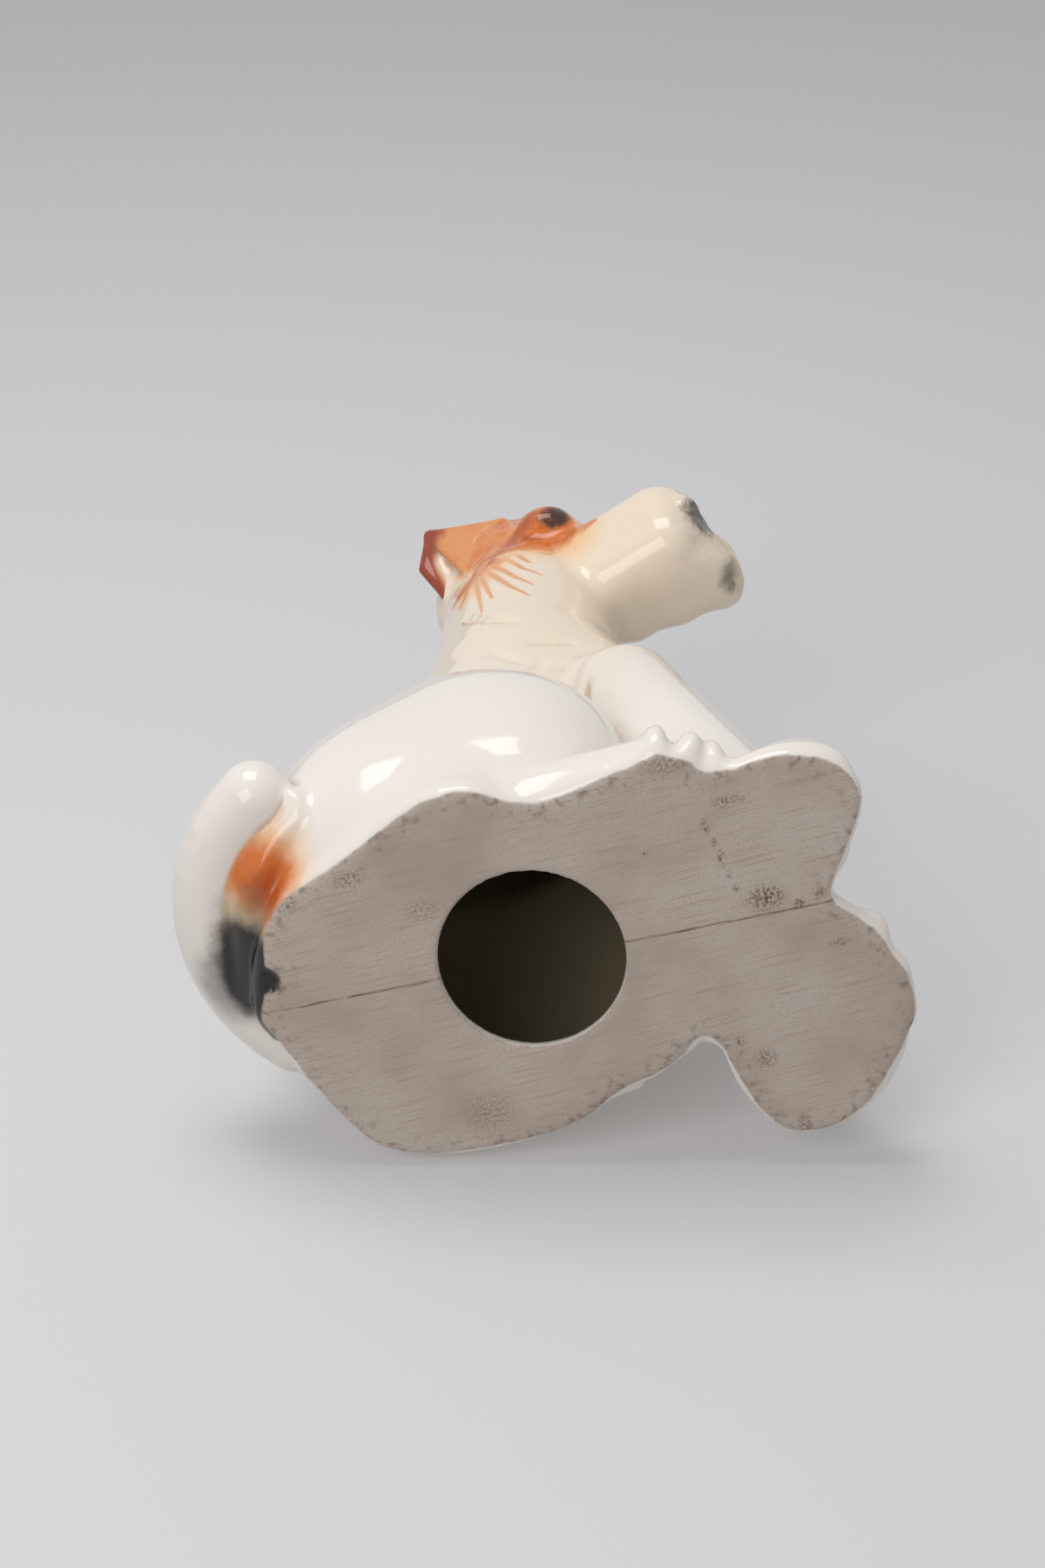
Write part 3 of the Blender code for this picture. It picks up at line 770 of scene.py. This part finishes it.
# The head's own directions: x to its left, y to its nape, z to its crown. Each stroke of hair below
# has its points, its half width and that of its tip.
HEAD_PLACE = np.array((-0.0046, -0.0022, 0.177))
HEAD_LEAN = -26
HEAD_SWING = -14
CHEEK_GLOW = metres((
    ((165, -160, 10), (190, -80, -10), (220, 5, -30), (275, 40, -100), (300, 80, -160)), 88, 50,
))
HAIR_STROKES = metres((
    (((168, -32, 71), (200, -3, 19), (264, 27, -62),
      (280, 65, -104), (281, 102, -129), (273, 134, -150)), 52, 12),
    (((182, -53, 26), (170, -142, 6), (163, -201, 7), (164, -243, 7)), 50, 12),
    (((125, -50, 170), (154, 0, 126), (169, 38, 90), (190, 80, 40)), 78, 50),
))
WISPS = metres((
    ((225, -20, -30), (262, -75, -105), (270, -125, -140)),
    ((240, 0, -40), (285, -63, -143), (281, -104, -187)),
    ((270, 15, -80), (315, -45, -185), (325, -90, -245)),
    ((290, 30, -100), (343, -34, -231), (359, -79, -305)),
    ((295, 45, -115), (370, 10, -270)),
    ((300, 60, -130), (400, 36, -323)),
    ((290, 85, -140), (326, 109, -219)),
))
WISP_HALF = 0.0009
WISP_TIP = 0.0003
DARK_STROKES = metres((
    (((178, -80, 110), (170, -40, 70), (200, -3, 19), (262, 20, -60)), 26, 8),
    (((172, -60, 50), (175, -130, 30), (165, -200, 20)), 12, 5),
    (((215, 40, -5), (275, 75, -95)), 16, 6),
))


def face_side_of(paint):
    """Places in the head's own directions, both its sides alike."""
    grid = paint.grid(paint.place, HEAD_PLACE, (0, HEAD_LEAN, HEAD_SWING), (1, 1, 1))
    aside, back, up = paint.parts(grid)
    both = paint.node("ShaderNodeCombineXYZ")
    for number, value in enumerate((paint.sum("ABSOLUTE", aside), back, up)):
        paint.put(value, both.inputs[number])
    return both.outputs[0]


# Dirt on the foot: place and half sizes of each mark in tenths of a millimetre, and its strength.
MARKS = (
    ((-40, -515), (19, 26), 0.95),
    ((-397, -384), (22, 48), 0.45),
    ((-282, -467), (8, 13), 0.8),
    ((-283, -500), (6, 11), 0.8),
    ((-231, -423), (13, 6), 0.6),
    ((-192, -433), (10, 5), 0.6),
    ((-153, -441), (15, 6), 0.7),
    ((-110, -450), (6, 4), 0.7),
    ((-75, -457), (6, 5), 0.8),
    ((-11, -579), (8, 9), 0.9),
    ((-27, -628), (8, 8), 0.9),
    ((102, -647), (7, 14), 0.6),
    ((294, -393), (8, 8), 0.8),
    ((349, -439), (17, 16), 0.6),
    ((532, -490), (18, 10), 0.7),
    ((-277, 333), (13, 25), 0.6),
    ((-171, 198), (16, 26), 0.35),
    ((353, 170), (36, 40), 0.35),
    ((-196, -288), (5, 5), 0.8),
    ((-255, 471), (18, 12), 0.7),
)
MARK_SPREAD = 1.3
MARK_DEPTH = 0.01

# The paint beside the tail: place, half sizes, softness, fray, colour and strength of each patch.
ORANGE_PATCHES = (
    ((-0.03, 0.053, 0.007), (0.0125, 0.011, 0.0125), 0.6, 0.6, APRICOT, 0.9),
    ((-0.029, 0.0535, 0.006), (0.0085, 0.0085, 0.01), 0.4, 0.7, ORANGE, 0.95),
    ((-0.025, 0.0525, 0.004), (0.005, 0.005, 0.006), 0.5, 0.8, DEEP_ORANGE, 0.6),
)
# The dark rim of the foot, as points along it.
BLACK_RIM = metres(((-140, 555, 12), (-60, 575, 12), (10, 600, 12), (60, 578, 12)))


def body_glaze(name):
    paint = Paint(name)
    paint.wash()
    ear_strokes(paint, face_side_of(paint))
    place = paint.place
    across, _, up = paint.parts(place)

    cloud = paint.noise(place, 0.006, 3)
    on_body = paint.ramp(paint.note("edge"), -0.0012, -0.0004)
    for centre, half, soft, fray, colour, strength in ORANGE_PATCHES:
        dab = paint.patch(place, centre, half, soft, cloud, fray)
        paint.brush(paint.times(dab, on_body), colour, strength)
    fringe = paint.patch(place, (-0.013, 0.059, 0.005), (0.013, 0.0085, 0.011), 0.3, cloud, 0.6)
    paint.brush(fringe, OLIVE, 0.65)
    black = paint.patch(place, (-0.0085, 0.06, 0.005), (0.012, 0.009, 0.0105), 0.22, cloud, 0.5)
    black = paint.times(black, paint.ramp(paint.note("edge"), -0.003, -0.001, 0.55, 1.0))
    paint.brush(black, BLACK, 0.97)
    paint.brush(paint.stroke(place, BLACK_RIM, 0.0022, 0.0014, 0.5, cloud, 0.7), BLACK, 0.85)
    smear = paint.patch(place, (-0.004, 0.0665, 0.0085), (0.008, 0.006, 0.005), 0.6, cloud, 0.9)
    paint.brush(smear, BLACK, 0.55)
    chip = paint.patch(place, CHIP, (0.0027, 0.0021, 0.0021), 0.3, cloud, 0.6)

    wobble = paint.times(paint.noise(place, 0.004, 3), 0.0006)
    foot = paint.ramp(paint.sum("SUBTRACT", up, wobble), 0.0005, 0.0)
    mottle = paint.ramp(paint.noise(place, 0.03, 3), 0.3, 0.8)
    paint.brush(foot, paint.mixed(mottle, BISQUE, BISQUE_DARK))
    grit = paint.noise(place, 0.0006, 2)
    paint.brush(paint.times(foot, paint.ramp(grit, 0.45, 0.75)), BISQUE_DARK, 0.6)
    scratches = paint.noise(place, 0.00036, 2, (1, 40, 8), (0, 0, -3))
    paint.brush(paint.times(paint.ramp(scratches, 0.54, 0.68), foot), BISQUE_DARK, 0.8)
    wobble = paint.times(paint.sum("SUBTRACT", paint.noise(place, 0.012), 0.5), 0.001)
    off = paint.sum("ABSOLUTE", paint.sum("ADD", across, wobble))
    broken = paint.ramp(paint.noise(place, 0.01, 3), 0.36, 0.6, 0.25, 1.0)
    seam = paint.times(paint.ramp(off, 0.00042, 0.00008), broken)
    paint.brush(paint.times(seam, foot), SEAM_DIRT, 0.9)

    near_edge = paint.ramp(paint.note("edge"), 0.0065, 0.0008)
    grime = paint.times(near_edge, paint.ramp(paint.noise(place, 0.0022, 4), 0.5, 0.7))
    pits = paint.ramp(paint.noise(place, 0.0009, 2), 0.755, 0.8)
    dirt = paint.most(paint.times(grime, 0.5), paint.times(pits, 0.6))
    specked = paint.ramp(paint.noise(place, 0.0007, 4), 0.42, 0.6)
    for spot, half, strength in MARKS:
        (x, y), (half_x, half_y) = metres((spot, half))
        half = (half_x * MARK_SPREAD, half_y * MARK_SPREAD, MARK_DEPTH)
        mark = paint.times(paint.patch(place, (x, y, 0), half, 0.8), specked)
        dirt = paint.most(dirt, paint.times(mark, strength))
    paint.brush(paint.times(dirt, foot), DIRT)
    paint.brush(chip, BLACK, 0.9)

    relief = paint.sum("MULTIPLY_ADD", scratches, 0.9, paint.times(grit, 0.9))
    relief = paint.sum("SUBTRACT", relief, paint.times(paint.most(dirt, seam), 1.5))
    paint.fire(foot, relief)
    return paint.material


# Tail: a solid roll of clay, curled low round the rump towards the dog's right and luted on. It is
# parted from the body at the luting line, which lies just outside the body's skin.
LUTING_LINE = 0.0006
TAIL_POINTS = metres(((150, 560, 175), (-40, 662, 176), (-245, 650, 186), (-415, 515, 195)))
TAIL_RADII = (0.0098, 0.0094, 0.0088, 0.0082)
TAIL_STEPS = 14


def roll(clay, points, radii, blend):
    """A bent roll with round ends, through four points of its middle line."""
    marks = np.linspace(0, 1, len(points))
    steps = np.linspace(0, 1, TAIL_STEPS)
    line = np.stack([np.polyval(np.polyfit(marks, axis, 3), steps) for axis in np.array(points).T], 1)
    widths = np.interp(steps, marks, radii)

    def distance(*place):
        nearest = FAR_AWAY
        for start, end, first, last in zip(line, line[1:], widths, widths[1:]):
            share, gap = to_line(place, start, end - start)
            nearest = np.minimum(nearest, gap - first - (last - first) * share)
        return nearest

    clay.work(line.min(0) - max(radii), line.max(0) + max(radii), distance, blend)


roll(body_clay, TAIL_POINTS, TAIL_RADII, 0.0016)
whole = Pressing(body_clay, body_skin, (trunk,))
body_paint = body_glaze("body_glaze")
tail_piece = whole.piece("tail_curl", cut(whole.net, whole.edge, "DIFFERENCE"), body_paint)
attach(tail_piece, "root")
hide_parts("tail")


# Body halves: the trunk parted where its two halves were pressed and luted together, along the
# middle of the back, the base and the chest, up to the joint under the head.
trunk_mesh = cut(whole.net, whole.edge, "INTERSECT")
for side_name, half_knife in halves(NECK_JOINT_HEIGHT):
    half = whole.piece("body_" + side_name, cut(trunk_mesh, half_knife, "INTERSECT"), body_paint)
    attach(half, "root")
    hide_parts("body_" + side_name + "_half")


# Head: two halves pressed in a mould of their own, luted along the head's middle and set on the
# neck turned towards the dog's right. Eyes, nose and mouth are modelled in the mould; eyes and nose
# are painted, and the mouth and the front of the muzzle are darkened with painted shade.
HEAD_TURN = turned((0, HEAD_LEAN, HEAD_SWING))
HEAD_GRAIN = 0.0006
MUZZLE_HALF = (0.0156, 0.0189, 0.014)
MUZZLE_ROUNDING = 0.0105
MUZZLE_PLACE = (-0.0025, -0.0303, -0.0068)
MUZZLE_RISE = 7
MOUSTACHE_HALF = (0.0132, 0.0104, 0.0131)
MOUSTACHE_ROUNDING = 0.009
MOUSTACHE_PLACE = (0.0002, -0.0356, -0.0086)


def on_head(place):
    return HEAD_PLACE + HEAD_TURN @ np.array(place, float)


def head_egg(clay, centre, half, turn=(0, 0, 0), blend=0.005, taken=False):
    egg(clay, on_head(centre), half, HEAD_TURN @ turned(turn), blend, taken)


def head_limb(clay, start, end, start_radius, end_radius, blend=0.002, taken=False):
    limb(clay, on_head(start), on_head(end), start_radius, end_radius, blend, taken)


def block(clay, centre, half, rounding, spin, blend):
    """A block with rounded edges."""
    def distance(*place):
        own = own_directions(place, centre, spin)
        out = [np.abs(own[axis]) - (half[axis] - rounding) for axis in range(3)]
        beyond = np.sqrt(sum(np.maximum(side, 0) ** 2 for side in out))
        return beyond + np.minimum(np.maximum(np.maximum(out[0], out[1]), out[2]), 0) - rounding

    reach = math.hypot(*half)
    clay.work(centre - reach, centre + reach, distance, blend)


def skull(clay, shrink=0.0):
    """Skull, brow, cheeks, square muzzle and beard, less a wall if it is hollow."""
    def less(half):
        return [length - shrink for length in half]

    head_egg(clay, (0, 0.004, 0.003), less((0.0175, 0.022, 0.022)), blend=0.006)
    head_egg(clay, (0, -0.008, 0.004), less((0.015, 0.016, 0.014)))
    for side in (-1, 1):
        head_egg(clay, (side * 0.009, 0, -0.009), less((0.01, 0.016, 0.013)))
    rise = HEAD_TURN @ turned((-MUZZLE_RISE, 0, -2))
    block(clay, on_head(MUZZLE_PLACE), less(MUZZLE_HALF), MUZZLE_ROUNDING, rise, 0.005)
    block(clay, on_head(MOUSTACHE_PLACE), less(MOUSTACHE_HALF), MOUSTACHE_ROUNDING, rise, 0.003)
    head_egg(clay, (0.0024, -0.0456, -0.0159), less((0.0118, 0.0074, 0.006)), blend=0.003)


EYE = (0.0138, -0.0128, 0.0092)
EYE_RADIUS = 0.0036
LIP_TOP = (0, -0.0406, 0.0045)
NOSE = (-0.0105, -0.0462, -0.004)
MOUTH = (
    ((0.0011, -0.0532, -0.0182), (0.0004, -0.049, -0.0218)),
    ((0.0011, -0.0532, -0.0182), (0.0095, -0.05, -0.019)),
)


def face(clay):
    """Eyes under their brows, moustache, nose and mouth."""
    for side in (-1, 1):
        head_egg(clay, (side * 0.0114, -0.0103, 0.0099), (0.0066, 0.0075, 0.0058), blend=0.003)
        head_egg(clay, (side * EYE[0], *EYE[1:]), (EYE_RADIUS,) * 3, blend=0.0005)
        head_egg(clay, (side * 0.0055, -0.042, -0.006), (0.0062, 0.0072, 0.0056), blend=0.0025)
    head_egg(clay, (0.0004, -0.0436, -0.0119), (0.0112, 0.0092, 0.0055), blend=0.0025)
    head_egg(clay, LIP_TOP, (0.0066, 0.005, 0.0046), blend=0.002)
    head_egg(clay, NOSE, (0.0052, 0.0036, 0.0046), blend=0.0012)
    for side in (-1, 1):
        nostril = (NOSE[0] + side * 0.0026, NOSE[1] - 0.0036, NOSE[2] - 0.001)
        head_egg(clay, nostril, (0.0012, 0.0014, 0.0013), blend=0.0006, taken=True)
    head_limb(clay, (-0.006, -0.0508, -0.01), (0.0006, -0.0532, -0.0168), 0.0009, 0.001, 0.0014, True)
    for points in MOUTH:
        head_limb(clay, *points, 0.0024, 0.0012, 0.0012, True)


head_clay = Clay((-0.045, -0.068, 0.13), (0.035, 0.04, 0.212), HEAD_GRAIN)
trunk(head_clay)
skull(head_clay)
face(head_clay)
creases(head_clay)
head_skin = head_clay.depth + lumps(head_clay)


# Paint of the muzzle: the painted shade and the nose's tip, counted from the middle of the nose.
LIP_SHADE = (0.005, -0.002, -0.0035)
NOSE_TIP = (0.001, -0.0034, -0.002)
MOUTH_PLACE = (-0.0076, -0.0538, 0.1596)
LIP_SHADE_GREY = ink(176, 166, 150)
NOSE_BLACK = ink(46, 42, 34)
MOUTH_SHADE_OLIVE = ink(104, 96, 72)
EYE_BROWN = ink(52, 24, 14)


def head_glaze(name, ear):
    """The glaze of the head, or of its ears."""
    paint = Paint(name)
    paint.wash()
    face_side = face_side_of(paint)
    ear_strokes(paint, face_side)
    if ear:
        paint_ear(paint, face_side)
    specks = paint.noise(face_side, 0.0016, 3)
    # Painted shade: grey on the front of the muzzle below the nose.
    lip_place = on_head(NOSE) + np.array(LIP_SHADE)
    shade = paint.patch(paint.place, lip_place, (0.0085, 0.007, 0.008), 0.7, specks, 0.6)
    paint.brush(shade, LIP_SHADE_GREY, 0.55)
    tip_place = on_head(NOSE) + np.array(NOSE_TIP)
    nose = paint.patch(paint.place, tip_place, (0.0052, 0.0052, 0.0056), 0.4, specks, 1.2)
    paint.brush(nose, NOSE_BLACK, 0.85)
    # Painted shade: dark olive in the hollow of the mouth.
    mouth_shade = paint.patch(paint.place, MOUTH_PLACE, (0.0042, 0.0034, 0.004), 0.6, specks, 0.9)
    paint.brush(mouth_shade, MOUTH_SHADE_OLIVE, 0.8)
    spot = paint.patch(face_side, EYE, (0.0042, 0.0052, 0.0042), 0.18, specks, 0.3)
    paint.brush(spot, EYE_BROWN, 0.95)
    paint.fire(None, None)
    return paint.material


# Ears: each is one sheet of clay that stands up from the skull and folds over at its top into a
# flap, luted on behind the eye; the flap is painted orange and its back dark red-brown.
EAR_THICKNESS = 0.0027
FOLD_REAR = (0.0154, 0.0185, 0.0216)
FOLD_FRONT = (0.0108, 0.0005, 0.0191)
EAR_BULGE = (0.0148, 0.0225, 0.0125)
ROOT_REAR = (0.0115, 0.0165, -0.004)
ROOT_FRONT = (0.009, 0.005, 0.01)
FLAP_TIP = (0.0185, 0.0104, 0.0015)
EAR_LEAVES = (
    (FOLD_REAR, EAR_BULGE, ROOT_REAR, 0.0015),
    (FOLD_REAR, FOLD_FRONT, ROOT_REAR, 0.0015),
    (ROOT_REAR, FOLD_FRONT, ROOT_FRONT, 0.0015),
    (FOLD_REAR, FOLD_FRONT, FLAP_TIP, 0.0008),
)
EAR_ORANGE = ink(232, 154, 92)
EAR_RED = ink(150, 52, 20)


def leaf(clay, corners, blend):
    """A flat sheet of clay with three corners."""
    corners = np.array(corners)
    sides = np.roll(corners, -1, 0) - corners
    normal = np.cross(sides[0], sides[2])

    def distance(x, y, z):
        place = np.stack(np.broadcast_arrays(x, y, z), -1)
        nearest = FAR_AWAY
        turns = 0
        for corner, side in zip(corners, sides):
            away = place - corner
            share = np.clip(away @ side / (side @ side), 0, 1)
            gap = ((away - share[..., None] * side) ** 2).sum(-1)
            nearest = np.minimum(nearest, gap)
            turns = turns + np.sign(away @ np.cross(side, normal))
        above = ((place - corners[0]) @ normal) ** 2 / (normal @ normal)
        return np.sqrt(np.where(turns < 2, nearest, above)) - EAR_THICKNESS / 2

    clay.work(corners.min(0) - EAR_THICKNESS, corners.max(0) + EAR_THICKNESS, distance, blend)


def ears(clay):
    """Both ears, each of four leaves that run into one another."""
    for side in (-1, 1):
        for *corners, blend in EAR_LEAVES:
            leaf(clay, [on_head((side * x, y, z)) for x, y, z in corners], blend)


def paint_ear(paint, face_side):
    """Orange on the flap, a dark line of painted shade along its edge, and dark red-brown on the back."""
    cloud = paint.noise(face_side, 0.006, 2)
    flap = paint.patch(face_side, (0.016, 0.01, 0.011), (0.013, 0.018, 0.02), 0.15, cloud, 0.3)
    paint.brush(flap, EAR_ORANGE)
    paint.brush(paint.ramp(cloud, 0.45, 0.75), ORANGE, 0.35)
    bare_strip = ((0.015, 0.0192, 0.019), (0.014, 0.0165, 0.008), (0.013, 0.0148, 0.0))
    paint.brush(paint.stroke(face_side, bare_strip, 0.002, 0.0024, 0.5, cloud, 0.4), CREAM_WASH, 0.9)
    hairs = paint.noise(face_side, 0.003, 2, (1, 1, 3))
    # Painted shade: a dark line along the flap's rear edge, where it hangs over the ear below.
    paint.brush(paint.stroke(face_side, (FOLD_REAR, FLAP_TIP), 0.0012, 0.0009, 0.4), DEEP_ORANGE, 0.8)
    rear_edge = (FOLD_REAR, EAR_BULGE, (0.013, 0.0205, 0.002))
    back = paint.stroke(face_side, rear_edge, 0.0042, 0.0028, 0.45, hairs, 0.7)
    paint.brush(back, EAR_RED, 0.95)


ears(head_clay)
cranium = Pressing(head_clay, head_skin, (trunk, skull))
ear_mesh = cut(cranium.net, cranium.edge, "DIFFERENCE")
head_stance = Matrix.Translation(Vector(HEAD_PLACE)) @ Matrix(HEAD_TURN.tolist()).to_4x4()
ear_paint = head_glaze("ear_glaze", True)
for side_name, half_knife in halves(stance=head_stance):
    ear = cranium.piece("ear_" + side_name, cut(ear_mesh, half_knife, "INTERSECT"), ear_paint)
    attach(ear, "root")
    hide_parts(side_name + "_ear")


# Head halves: the skull parted where its two halves were luted together, and from the neck.
skull_mesh = cut(cranium.net, cranium.edge, "INTERSECT")
neck_knife = knife((-KNIFE_REACH, -KNIFE_REACH, NECK_JOINT_HEIGHT), (KNIFE_REACH,) * 3)
skull_mesh = cut(skull_mesh, neck_knife, "INTERSECT")
head_paint = head_glaze("head_glaze", False)
for side_name, half_knife in halves(stance=head_stance):
    half = cranium.piece("head_" + side_name, cut(skull_mesh, half_knife, "INTERSECT"), head_paint)
    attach(half, "root")
    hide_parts("head_" + side_name + "_half")


# Studio: the dog lies on its left side on a plain pale floor, with its base towards the camera.
# Photograph's own directions, in the dog's frame: right, away along the floor, and up from it.
PHOTO_RIGHT = Vector((0.22325, -0.97476, 0))
PHOTO_AWAY = Vector((0, 0, 1))
PHOTO_UP = Vector((-0.97476, -0.22325, 0))
CAMERA_PLACE = Vector((-0.36091, -0.08057, -0.64294))
CAMERA_TILT = math.radians(27)
LENS = 80
FLOOR_HALF = 4.0
PAPER_GREY = (0.76, 0.76, 0.77, 1)
SKY_LIGHT = (0.42, 0.42, 0.43, 1)
BACKDROP_GREY = (0.8, 0.8, 0.81, 1)

heights = [(told(piece.data.vertices, "co", 3) @ np.array(PHOTO_UP)).min() for piece in pieces]
floor_level = float(min(heights))
middle = Vector((SEAM_X, 0, 0.07))
floor_middle = middle + PHOTO_UP * (floor_level - middle.dot(PHOTO_UP))
floor_mesh = bpy.data.meshes.new("floor")
floor_mesh.from_pydata([
    floor_middle + (PHOTO_RIGHT * right + PHOTO_AWAY * away) * FLOOR_HALF
    for right, away in ((-1, -1), (1, -1), (1, 1), (-1, 1))
], [], [(0, 1, 2, 3)])
floor = placed("floor", floor_mesh)
floor_paper = bpy.data.materials.new("floor_paper")
paper = Nodes(floor_paper)
paper.tree.nodes.remove(paper.tree.nodes["Principled BSDF"])
dull = paper.node("ShaderNodeBsdfDiffuse")
dull.inputs["Color"].default_value = PAPER_GREY
clear = paper.node("ShaderNodeBsdfTransparent")
behind = paper.node("ShaderNodeNewGeometry").outputs["Backfacing"]
bounced = paper.node("ShaderNodeLightPath").outputs["Is Diffuse Ray"]
two_sided = paper.node("ShaderNodeMixShader")
for number, value in enumerate((paper.most(behind, bounced), dull.outputs[0], clear.outputs[0])):
    paper.put(value, two_sided.inputs[number])
paper.put(two_sided.outputs[0], paper.tree.nodes["Material Output"].inputs["Surface"])
floor_mesh.materials.append(floor_paper)

world = bpy.data.worlds.new("studio")
bpy.context.scene.world = world
sky = Nodes(world)
paths = sky.node("ShaderNodeLightPath").outputs
seen = sky.most(sky.most(paths["Is Camera Ray"], paths["Is Glossy Ray"]), paths["Is Transmission Ray"])
backdrop = sky.mixed(seen, SKY_LIGHT, BACKDROP_GREY)
sky.put(backdrop, sky.tree.nodes["Background"].inputs["Color"])


def softbox(name, right, away, up, size, power):
    """A square soft lamp, placed from the dog's middle along the photograph's directions."""
    lamp = bpy.data.lights.new(name, "AREA")
    lamp.size = size
    lamp.energy = power
    stand = placed(name, lamp)
    place = middle + PHOTO_RIGHT * right + PHOTO_AWAY * away + PHOTO_UP * up
    stand.location = place
    stand.rotation_euler = (middle - place).to_track_quat("-Z", "Y").to_euler()


softbox("key", -0.2, 0.1, 0.95, 0.55, 3.6)
softbox("fill", -0.45, -0.8, 0.55, 0.6, 3.0)

camera = bpy.data.cameras.new("camera")
camera.lens = LENS
camera.clip_start = 0.05
camera.clip_end = 50
viewer = placed("camera", camera)
look = (PHOTO_AWAY * math.cos(CAMERA_TILT) - PHOTO_UP * math.sin(CAMERA_TILT)).normalized()
top = (PHOTO_AWAY * math.sin(CAMERA_TILT) + PHOTO_UP * math.cos(CAMERA_TILT)).normalized()
stance = Matrix((PHOTO_RIGHT, top, -look)).transposed().to_4x4()
viewer.matrix_world = Matrix.Translation(CAMERA_PLACE + HOLE_PLACE) @ stance
bpy.context.scene.camera = viewer
bpy.context.scene.view_settings.view_transform = "Standard"
